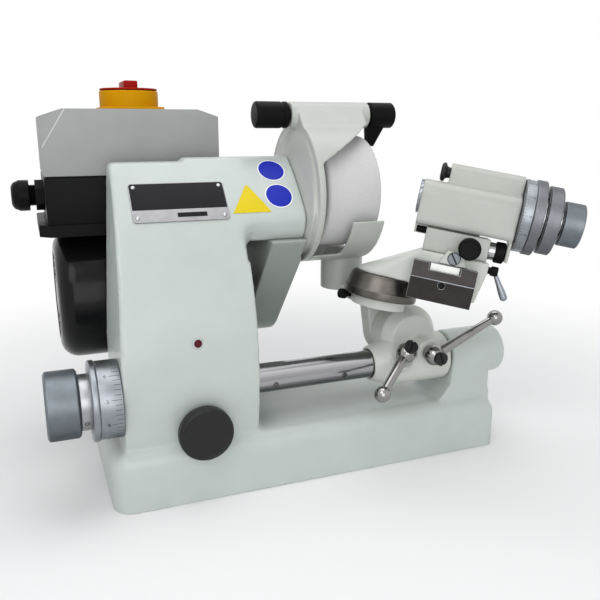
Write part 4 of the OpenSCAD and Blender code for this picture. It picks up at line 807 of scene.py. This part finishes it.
def gland():
    """The cable gland: a ribbed dome nut, a thread and a hexagon."""
    y, z = middle("cable_gland", 1, 2)
    axis = axis_x(y, z)
    x0 = span("cable_gland", 0)[0]
    box_x = span("switch_cover", 0)[0]
    r, bore, hex_len, neck_len, neck_r = radius("cable_gland"), 4.5, 7.0, 5.0, 9.6
    hex_x = box_x - hex_len
    nut_x = hex_x - neck_len
    bm = bmesh.new()
    spin(bm, [(x0, bore), (x0, 0.6 * r), (x0 + 2.1, 0.85 * r), (x0 + 6.3, 0.98 * r), (nut_x, r),
              (nut_x, bore)], axis, 96, True, 0.8)
    ribs, half_w = 12, 1.1
    for at in around(axis, ribs):
        bevelled_box(bm, (r - 0.6, -half_w, x0 + 6), (r, half_w, nut_x - 0.7), 0.25, at, 1)
    turns = 4
    pitch = neck_len / turns
    thread = [(nut_x, bore), (nut_x, neck_r - 0.6)]
    for k in range(turns):
        thread += [(nut_x + (k + 0.3) * pitch, neck_r), (nut_x + (k + 0.8) * pitch, neck_r - 0.9)]
    thread += [(hex_x, neck_r - 0.6), (box_x + 4, neck_r - 0.6), (box_x + 4, bore)]
    spin(bm, thread, axis, 64, True)
    prism(bm, hexagon(r), hex_len, axis @ shift((0, 0, hex_x)))
    finish(bm, "gland", ["black_plastic"], "frame", "black_plastic", "cable_gland")


def main_switch():
    """The yellow collar on its square plate, and the red handle."""
    x, y = middle("switch_handle", 0, 1)
    at = shift((x, y, 0))
    plate_x0, plate_x1 = span("switch_plate", 0)
    z0, z1 = span("switch_plate", 2)
    plate_t, bore = 2.5, 5.06
    half, r = (plate_x1 - plate_x0) / 2, (plate_x1 - plate_x0) / 2 - 1
    bm = bmesh.new()
    bevelled_box(bm, (-half, -half, z0), (half, half, z0 + plate_t), 0.9, at)
    spin(bm, [(z0 + 2, bore), (z0 + 2, r), (z1 - 0.9, r), (z1, r - 0.8), (z1, bore)], at, 96, True, 0.5)
    finish(bm, "switch_collar", ["yellow"], "frame", "yellow", "switch_plate")
    low, top = span("switch_handle", 2)
    disc_r, disc_t, stem_r, free, half_w, half_len = r - 0.5, 1.6, 5.0, 0.5, 6.0, 17.0
    disc = z1 + free
    bm = bmesh.new()
    spin(bm, [(low, 0), (low, stem_r), (disc, stem_r)]
         + near(disc, disc_r, (0, -0.4), (0.4, 0), (disc_t - 0.5, 0), (disc_t, -0.5), (disc_t, -disc_r)),
         at, r=0.25)
    bevelled_box(bm, (-half_w, -half_len, disc + 0.5), (half_w, half_len, top), 1.2, at)
    finish(bm, "switch_grip", ["red"], "switch", "red", "switch_handle")


def motor():
    """The finned motor and its fan cover with a grille of rings and spokes."""
    axis = axis_x(*MOTOR)
    x0, x1 = span("motor_body", 0)
    box_z = span("terminal_base", 2)[0]
    r, fin_h, fins, shield, bore = 57.0, 4.5, 44, 11.5, 8.0
    ring = []
    for k in range(fins):
        for d, rr in ((0.0, r), (0.32, r), (0.44, r - fin_h), (0.88, r - fin_h)):
            t = 2 * pi * (k + d) / fins
            ring.append((rr * cos(t), rr * sin(t)))
    bm = bmesh.new()
    prism(bm, ring, x1 - x0 - 2 * shield + 2, axis @ shift((0, 0, x0 + shield - 1)))
    spin(bm, tube(x1 - shield, x1, bore, r), axis, 96, True, 1.0)
    spin(bm, tube(x0, x0 + shield, bore, r - 2), axis, 96, True, 0.6)
    mid, saddle_w, saddle_d = (x0 + x1) / 2, 30.0, 35.0
    bevelled_box(bm, (mid - saddle_w, MOTOR[0] - saddle_d, MOTOR[1] + saddle_d),
                 (mid + saddle_w, MOTOR[0] + saddle_d, box_z), 1.2)
    finish(bm, "motor_case", ["black_paint"], "frame", "black_paint", "motor_body")

    x0, x1 = span("fan_cover", 0)
    r, bend, wall, steps = 59.0, 16.0, 2.0, 8
    turns = [pi / 2 * i / steps for i in range(steps + 1)]
    knee, flat = x0 + bend, r - bend
    outer = [(x1, r)] + [(knee - bend * sin(t), flat + bend * cos(t)) for t in turns]
    inner = [(knee - (bend - wall) * sin(t), flat + (bend - wall) * cos(t)) for t in reversed(turns)]
    bm = bmesh.new()
    spin(bm, outer + [(x0, flat - 2.5), (x0 + wall, flat - 2.5)] + inner + [(x1, r - wall)], axis, 120, True)
    bars, face, back = 4, x0 + 0.4, x0 + 2.4
    pitch, bar_w = 7.4, 2.0
    for i in range(bars):
        r_out = flat - 2.4 - i * pitch
        if i == bars - 1:
            spin(bm, tube(face, back, 0, r_out), axis, 72)
        else:
            spin(bm, tube(face, back, r_out - bar_w, r_out), axis, 96, True)
    spokes, half_w, hub_r = 12, 1.4, 16
    for at in around(axis, spokes):
        bevelled_box(bm, (hub_r, -half_w, x0 + 0.6), (flat - 2, half_w, x0 + 2.2), 0.3, at, 1)
    finish(bm, "fan_cowl", ["black_paint"], "frame", "black_paint", "fan_cover")


def wheel_and_dresser():
    """The cup wheel with its nut, and the dresser's black grip."""
    axis = axis_x(*SPINDLE)
    x0, x1 = span("grinding_wheel", 0)
    r, seat_r, wall, back = radius("grinding_wheel"), 10.02, 11.0, 14.0
    cup_r, floor_x = r - wall, x0 + back
    lathe("cup_wheel", [(x0, seat_r), (x0, r - 2.6), (x0 + 1.6, r - 0.4), (x0 + 3, r), (x1 - 1.2, r),
                        (x1, r - 1), (x1, cup_r + 1), (x1 - 1, cup_r), (floor_x + 4, cup_r - 0.8),
                        (floor_x, cup_r - 4.5), (floor_x, seat_r)],
          axis, "abrasive", "spindle", "abrasive", ["grinding_wheel"], 160, True, 1.2)
    flange_r, flange_t, thread_r, nut_r, nut_len = 18.0, 4.0, 8.02, 14.6, 7.6
    bm = bmesh.new()
    nut_x = floor_x + flange_t
    spin(bm, [(floor_x, thread_r), (floor_x, flange_r - 0.4), (floor_x + 0.6, flange_r),
              (nut_x - 0.6, flange_r), (nut_x, flange_r - 0.6), (nut_x, thread_r)], axis, 72, True, 0.3)
    prism(bm, hexagon(nut_r), nut_len, axis @ shift((0, 0, nut_x)))
    finish(bm, "arbor_nut", ["knurled_steel"], "spindle", "knurled_steel", "wheel_nut")

    x0, x1 = span("dresser_knob", 0)
    r, groove = radius("dresser_knob"), x1 - 6
    lathe("dresser_grip", near(x0, r, (0, -r), (0, -1.9), (0.6, -0.6), (1.68, 0))
          + near(groove, r, (-0.8, 0), (-0.1, -0.3), (0, -1.1), (2, -1.1), (2.1, -0.3), (2.8, 0))
          + near(x1, r, (-0.8, 0), (0, -0.7), (0, -r)),
          axis_x(*DRESSER), "black_plastic", "dresser", "black_plastic", ["dresser_knob"], 96, r=0.4)
    edged("dresser_finger", "dresser_arm", ["black_plastic"], "dresser", "black_plastic", 0.5)


def ball_lever(name, node, body, matrix, length):
    """A turned lever: a large ball, a tapering rod and a small ball."""
    big, small, foot, neck, stud_r = 9.0, 7.0, 4.6, 3.6, 4.02
    points = [(-big * cos(t), big * sin(t)) for t in [pi * i / 24 for i in range(21)]]
    points = [p for p in points if not (p[0] > 0 and p[1] < foot)]
    start = sqrt(small ** 2 - neck ** 2)
    points += [(big * 0.9, foot), (big + 4, foot * 0.97), (length - start, neck)]
    first = asin(neck / small)
    points += [(length - small * cos(t), small * sin(t))
               for t in [first + (pi - first) * i / 20 for i in range(1, 21)]]
    points[0] = (-big, 0)
    points[-1] = (length + small, 0)
    bm = bmesh.new()
    spin(bm, points, matrix @ ALONG_X, 64)
    spin(bm, [(-big - 0.2, stud_r), (-big - 0.2, 6.3), (-6, 6.6), (-6, stud_r)], matrix, 48, True, 0.3)
    finish(bm, name, ["polished_steel"], body, "bright_steel", node)


def clamp_levers():
    """Both ball levers on the bracket, and their slotted studs."""
    right = shift(joint_at("lever_right_turn")) @ TO_FRONT
    lean, reach = radians(45), 30
    left = shift(joint_at("lever_left_turn")) @ turn(lean, "X") @ shift((0, 0, reach))
    for name, node, body, at, angle, length in (
            ("right_ball_lever", "lever_right", "right_handle", right, 24.3, 68),
            ("left_ball_lever", "lever_left", "left_handle", left, 224, 50)):
        ball_lever(name, node, body, at @ turn(radians(angle), "Z"), length)
    ball_r, stud_r, head_r = 9.0, 4.0, 6.0
    bm = bmesh.new()
    for at, angle in ((right, 1.9), (left, 0.9)):
        spin(bm, tube(-ball_r - 4.4, ball_r + 0.2, 0, stud_r), at, 40)
        slotted_head(bm, at @ shift((0, 0, ball_r)), head_r, h=3.4, slot_w=1.5, slot_d=1.6, angle=angle)
    ring_r, ring_bore = 9.6, 4.1
    spin(bm, tube(-ball_r - 2.5, -ball_r - 0.7, ring_bore, ring_r), right, 64, True, 0.4)
    finish(bm, "slotted_studs", ["satin_black"], "bracket", "black_plastic", "clamp_studs")


def turntable():
    """The turntable with its small clamp knob."""
    r, pin_r, pin_len, band, top_r, h = 32.2, 8.0, 7.0, 7.0, 27.2, 20.0
    lathe("graduated_table", [(-pin_len, 0), (-pin_len, pin_r), (0, pin_r), (0, r - 0.8), (0.8, r)]
          + near(band, r, (-0.6, 0), (0, -0.3), (0.3, -0.8))
          + near(h, top_r, (-2.4, 1), (-0.6, 0), (0, -1), (0, -top_r)),
          HEAD, "turned_steel", "table", "knurled_steel", ["turntable"], 160, r=0.4)
    end, knob_r, knob_len, stem_r, stem_len, across, up = -33.0, 4.5, 8.7, 2.0, 16.0, 14, -4.5
    lathe("table_clamp", near(end, knob_r, (0, -knob_r), (0, -1.3), (1, -0.2), (6, 0), (7.4, -0.9))
          + near(end, stem_r, (knob_len, 0.4), (knob_len, 0), (stem_len, 0), (stem_len, -stem_r)),
          TABLE @ shift((0, across, up)) @ ALONG_X, "black_plastic", "table_lock", "black_plastic",
          ["table_knob"], 40, r=0.4)


def work_spindle():
    """The work spindle's nose, index ring, hand ring and draw bar."""
    axis = head_axis(0, HEAD_H)
    nose, collar, ring, end = 14.5, 17.2, 99.0, 130.2
    bore_r, nose_r, shaft_r, tail_r, tube_r, collet = 10.0, 14.0, 15.0, 12.0, 9.1, 44.5
    bm = bmesh.new()
    spin(bm, [(nose, bore_r), (nose, nose_r - 0.8), (nose + 0.6, nose_r), (collar, nose_r),
              (collar, shaft_r), (ring, shaft_r), (ring, tail_r), (end, tail_r), (end, tube_r),
              (collet, tube_r), (collet, bore_r)], axis, 96, True, 0.35)
    teeth, half_w = 18, 0.7
    for at in around(axis, teeth):
        bevelled_box(bm, (nose_r - 0.8, -half_w, nose + 0.2), (nose_r + 0.4, half_w, collar - 0.2), 0.15,
                     at, 1)
    finish(bm, "work_nose", ["dial_steel"], "work", "knurled_steel", "work_spindle")

    rim_r, grip_r, band, last = 30.5, 31.5, 107.7, 116.2
    inner = tail_r + 0.02
    lathe("index_rim", [(ring, inner), (ring, rim_r - 0.9), (ring + 0.8, rim_r), (band - 0.3, rim_r),
                        (band, rim_r - 0.4), (band, inner)],
          axis, "dial_steel", "work", "bright_steel", ["index_ring"], 160, True, 0.25)
    lathe("index_grip", [(band, inner), (band, grip_r - 1), (band + 0.5, grip_r - 0.4)]
          + knurl(band + 0.9, last - 0.6, grip_r, 1.3, 0.32) + [(last, grip_r - 0.8), (last, inner)],
          axis, "dark_knurl", "work", "knurled_steel", (), 300, True, 0.25)
    graduate("index_marks", axis, rim_r, "work", 0.26, 72, 6, (ring + 0.9, ring + 2.8, ring + 4.4),
             (ring + 6.4, 2.8, 2))

    hand_r, neck_r, face = 28.5, 19.0, 118.7
    lathe("hand_rim", [(last, inner), (last, neck_r), (face, neck_r), (face, hand_r - 1.3),
                       (face + 0.7, hand_r - 0.3)]
          + knurl(face + 1.1, end - 1, hand_r, 1.3, 0.32)
          + [(end - 0.6, hand_r - 0.4), (end, hand_r - 1.3), (end, inner)],
          axis, "dark_knurl", "work", "knurled_steel", ["hand_ring"], 280, True, 0.4)
    draw_r, draw_bore, draw_neck, start, tail = 18.5, 6.0, 11.0, 133.7, 150.7
    free = 0.5
    lathe("draw_grip", [(collet + free, draw_bore), (collet + free, 9), (end + free, 9),
                        (end + free, draw_neck), (start, draw_neck), (start, draw_r - 1.5),
                        (start + 0.7, draw_r - 0.4)]
          + knurl(start + 1.2, tail - 1.1, draw_r, 1.15, 0.3)
          + near(tail, draw_r, (-0.5, -0.7), (0, -1.7))
          + near(tail, draw_bore, (0, 1.2), (-0.8, 0.4), (-1.9, 0)),
          axis, "knurled_steel", "drawbar", "knurled_steel", ["drawbar_knob"], 200, True, 0.5)
    skin, flat = 0.1, 0.3
    for name, body, a0, a1, r, flank in (
            ("hand_neck", "work", last, face, neck_r, hand_r - 1.4),
            ("draw_neck", "drawbar", end + free, start, draw_neck, draw_r - 1.7)):
        lathe(name, [(a0, r - flat), (a0, r + skin), (a1 - skin, r + skin), (a1 - skin, flank),
                     (a1 + skin, flank), (a1 + skin, r - flat)],
              axis, "bright_steel", body, "bright_steel", segs=96, closed=True, r=0.05)


def head_fittings():
    """Plunger, travel stop, clip lever, feed knob, pointer and rail on the work head."""
    knob, boss, tip, rod_r, plunger_w = 28.4, 36.7, 98.3, 4.0, 116.5
    lathe("plunger_grip", near(knob, 0, (0, 0), (0, 4.6), (0.5, 6.8), (1.4, 7.8), (2.6, 8), (3.8, 7.6),
                               (4.6, 5.6), (6, 4.7))
          + [(boss, 4.5), (boss, rod_r), (tip, rod_r), (tip, 0)],
          head_axis(0, plunger_w), "satin_black", "plunger", "black_plastic", ["index_plunger"], 56, r=0.4)
    stem, nut, last, nut_r, stem_r = 82.0, 87.0, 95.2, 9.0, 3.0
    lathe("stop_grip", [(stem, 0), (stem, stem_r), (nut, stem_r), (nut, nut_r - 0.8),
                        (nut + 0.6, nut_r - 0.2)]
          + knurl(nut + 1, last - 1, nut_r, 1.3, 0.4, False)
          + [(last - 0.6, nut_r - 0.3), (last, nut_r - 1), (last, 0)],
          head_axis(*in_head("stop_nut_turn").yz), "black_plastic", "stop", "black_plastic", ["stop_nut"], 72,
          r=0.3)
    edged("stop_bush", "stop_barrel", ["bright_steel"], "table", "knurled_steel", 0.3)
    shaft_end, knob, face, shaft_r, knob_r = -6.5, 26.6, 37.5, 3.0, 9.2
    lathe("feed_grip", [(shaft_end, 0), (shaft_end, shaft_r), (knob, shaft_r), (knob, knob_r - 1),
                        (knob + 0.8, knob_r)]
          + near(face, knob_r, (-1.5, 0), (-0.3, -0.6), (0, -1.8), (-0.3, -2.6), (-0.3, -knob_r)),
          head_front(*in_head("feed_knob_turn").xz), "black_plastic", "feed", "black_plastic", ["feed_knob"],
          72, r=0.5)

    pin, hub0, hub1, pin_r, hub_r = 76.5, 87.0, 93.0, 3.0, 4.2
    v, w = in_head("clip_lever_turn").yz
    length, root_r, tip_r, lean = 23.3, 1.9, 3.2, radians(32)
    handle = HEAD @ shift(((hub0 + hub1) / 2, v, w)) @ turn(pi - lean, "Y")
    ball = [(length + tip_r * sin(t), tip_r * cos(t)) for t in [pi / 2 * i / 6 for i in range(6)]]
    bm = bmesh.new()
    spin(bm, [(pin, 0), (pin, pin_r), (hub0, pin_r), (hub0, hub_r - 0.4), (hub0 + 0.6, hub_r),
              (hub1 - 0.6, hub_r), (hub1, hub_r - 0.4), (hub1, 0)], head_axis(v, w), 40, r=0.25, material=1)
    spin(bm, [(0, 0), (0, root_r), (5, root_r), (12, 0.75 * tip_r), (18, 0.95 * tip_r)] + ball
         + [(length + tip_r, 0)], handle, 40)
    finish(bm, "clip_handle", ["dial_steel", "black_plastic"], "clip", "bright_steel", "clip_lever")

    # The rail's faces that look down take a lighter steel as painted light, and its bevels take bright dial
    # steel as a painted highlight along the ridge and edges.
    edged("accessory_rail", "dovetail_rail", ["blued_steel", "milled_steel", "dial_steel"], "table",
          "blued_steel", 0.6, least=4.0)
    hole_r, hole_u, hole_w, hole_v, hole_end, skin = 3.2, 49.5, 24.04, 35.4, 29.2, 0.2
    # A black disc at the foot of the rail's hole is painted shade; the bright steel lining in the hole is
    # partly bare steel and partly a painted reflection.
    socket = head_front(hole_u, hole_w)
    lathe("rail_socket", tube(hole_v, hole_end, hole_r - skin, hole_r), socket, "bright_steel", "table",
          "blued_steel", segs=48, closed=True, r=0.05)
    lathe("rail_hole_painted_shade", [(hole_end, 0), (hole_end, hole_r), (hole_end + skin, hole_r - skin),
                                (hole_end + skin, 0)],
          socket, "ink", "table", "blued_steel", segs=48, r=0.05)
    # The pointer's bevels take the darker enamel as a painted shadow outline round the plate.
    edged("pointer", "pointer_plate", ["head_paint", "belt_paint"], "table", "casting_paint", 0.4)
    screw_u, screw_w, screw_v = 55, 47.25, 26
    screw = head_front(screw_u, screw_w) @ shift((0, 0, screw_v))
    # The thin black disc that shows round the head, and the slot's floor, are painted shade.
    bm = bmesh.new()
    slotted_head(bm, screw, r=4.8, h=2.0, slot_w=1.3, slot_d=1.1, angle=2.2, slot_material=1)
    spin(bm, tube(0, 0.3, 0, 5.5), screw, 48, material=1)
    finish(bm, "pointer_fixing", ["knurled_steel", "ink"], "table", "knurled_steel", "pointer_screw")
    start, stop, pin_r, pin_v, pin_w = 19.0, 28.0, 3.0, -7, 65.5
    lathe("travel_pin", [(start, 0), (start, pin_r - 0.5), (start + 0.5, pin_r), (stop, pin_r), (stop, 0)],
          head_axis(pin_v, pin_w), "black_plastic", "table", "black_plastic", segs=32, r=0.2)


def kept_nodes():
    """CAD nodes that keep their own form take a material."""
    kept = {
        "knurled_steel": ["ball_bearings", "motor_rotor", "motor_pulley", "spindle_pulley", "feed_screw"],
        "bronze": ["plain_bushes", "bracket_bush", "dresser_sleeve"], "belt_rubber": ["drive_belt"],
        "black_paint": ["motor_plate"], "black_plastic": ["cooling_fan"], "bright_steel": ["wheel_spindle"],
        "bar_steel": ["slide_bar"], "scale_white": ["rail_scale"],
    }
    for mat, names in kept.items():
        for name in names:
            NODES[name].data.materials.clear()
            NODES[name].data.materials.append(M[mat])


# Stage, lamps and camera

def calc(tree, kind, operation, *values):
    """A math node's result."""
    node = add(tree, kind)
    node.operation = operation
    for value, socket in zip(values, node.inputs):
        tree.links.new(value, socket)
    return node.outputs["Value"]


def seen_mix(tree, output, plain, white, share=None):
    """White to the camera, in reflections and through glass; the plain shader lights the object."""
    path = add(tree, "LightPath").outputs
    seen = path["Is Camera Ray"]
    for ray in ("Is Glossy Ray", "Is Transmission Ray"):
        seen = calc(tree, "Math", "MAXIMUM", seen, path[ray])
    mix = add(tree, "MixShader")
    for value, socket in zip((calc(tree, "Math", "MULTIPLY", share, seen) if share else seen,
                              plain.outputs[0], white.outputs[0]), mix.inputs):
        tree.links.new(value, socket)
    tree.links.new(mix.outputs["Shader"], add(tree, output).inputs["Surface"])


def floor():
    """A pale floor that keeps the shadow and goes over into white away from the object."""
    half, drop, fade_from, fade_to, pale = 6.0, 0.0004, 0.30, 0.75, 0.94
    mesh = bpy.data.meshes.new("floor")
    corners = ((-half, -half, -drop), (half, -half, -drop), (half, half, -drop), (-half, half, -drop))
    mesh.from_pydata(corners, [], [(0, 1, 2, 3)])
    linked("floor", mesh)
    mat = bpy.data.materials.new("floor")
    mat.use_nodes = True
    tree = mat.node_tree
    tree.nodes.clear()
    fade = add(tree, "MapRange", From_Min=fade_from, From_Max=fade_to)
    fade.interpolation_type = "SMOOTHSTEP"
    away = calc(tree, "VectorMath", "LENGTH", add(tree, "TexCoord").outputs["Object"])
    tree.links.new(away, fade.inputs["Value"])
    seen_mix(tree, "OutputMaterial", add(tree, "BsdfDiffuse", Color=(pale, pale, pale, 1)),
             add(tree, "Emission", Strength=1.0), fade.outputs["Result"])
    mesh.materials.append(mat)


def sky():
    """White to the eye and in reflections, and a plain soft light on the object."""
    world = bpy.data.worlds.new("studio")
    bpy.context.scene.world = world
    world.use_nodes = True
    world.node_tree.nodes.clear()
    seen_mix(world.node_tree, "OutputWorld",
             add(world.node_tree, "Background", Color=(0.97, 0.985, 1.0, 1), Strength=0.48),
             add(world.node_tree, "Background", Color=(1, 1, 1, 1)))


def area_light(name, where, target, size, watts):
    light = bpy.data.lights.new(name, "AREA")
    light.size = size
    light.energy = watts
    obj = linked(name, light)
    obj.location = where
    obj.rotation_euler = (Vector(target) - Vector(where)).to_track_quat("-Z", "Y").to_euler()


def camera():
    data = bpy.data.cameras.new("camera")
    data.sensor_width = 36
    data.lens = 41.4
    obj = linked("camera", data)
    obj.location = (-0.218, -0.5805, 0.2975)
    yaw, pitch = radians(21.5), radians(14.2)
    obj.rotation_euler = (pi / 2 - pitch, 0, -yaw)
    bpy.context.scene.camera = obj
    bpy.context.scene.view_settings.view_transform = "Standard"


for build in (castings, infeed_wheel, front_clamp, front_plates, box_cover, box_base, gland, main_switch,
              motor, wheel_and_dresser, clamp_levers, turntable, work_spindle, head_fittings, kept_nodes,
              floor, sky):
    build()
area_light("key", (-0.8, -0.9, 1.3), (0, 0, 0.15), 0.9, 6.5)
area_light("front", (-0.35, -1.5, 0.5), (0.0, 0, 0.15), 1.0, 6)
area_light("top", (0.1, 0.1, 1.5), (0, 0, 0.1), 1.2, 8)
camera()
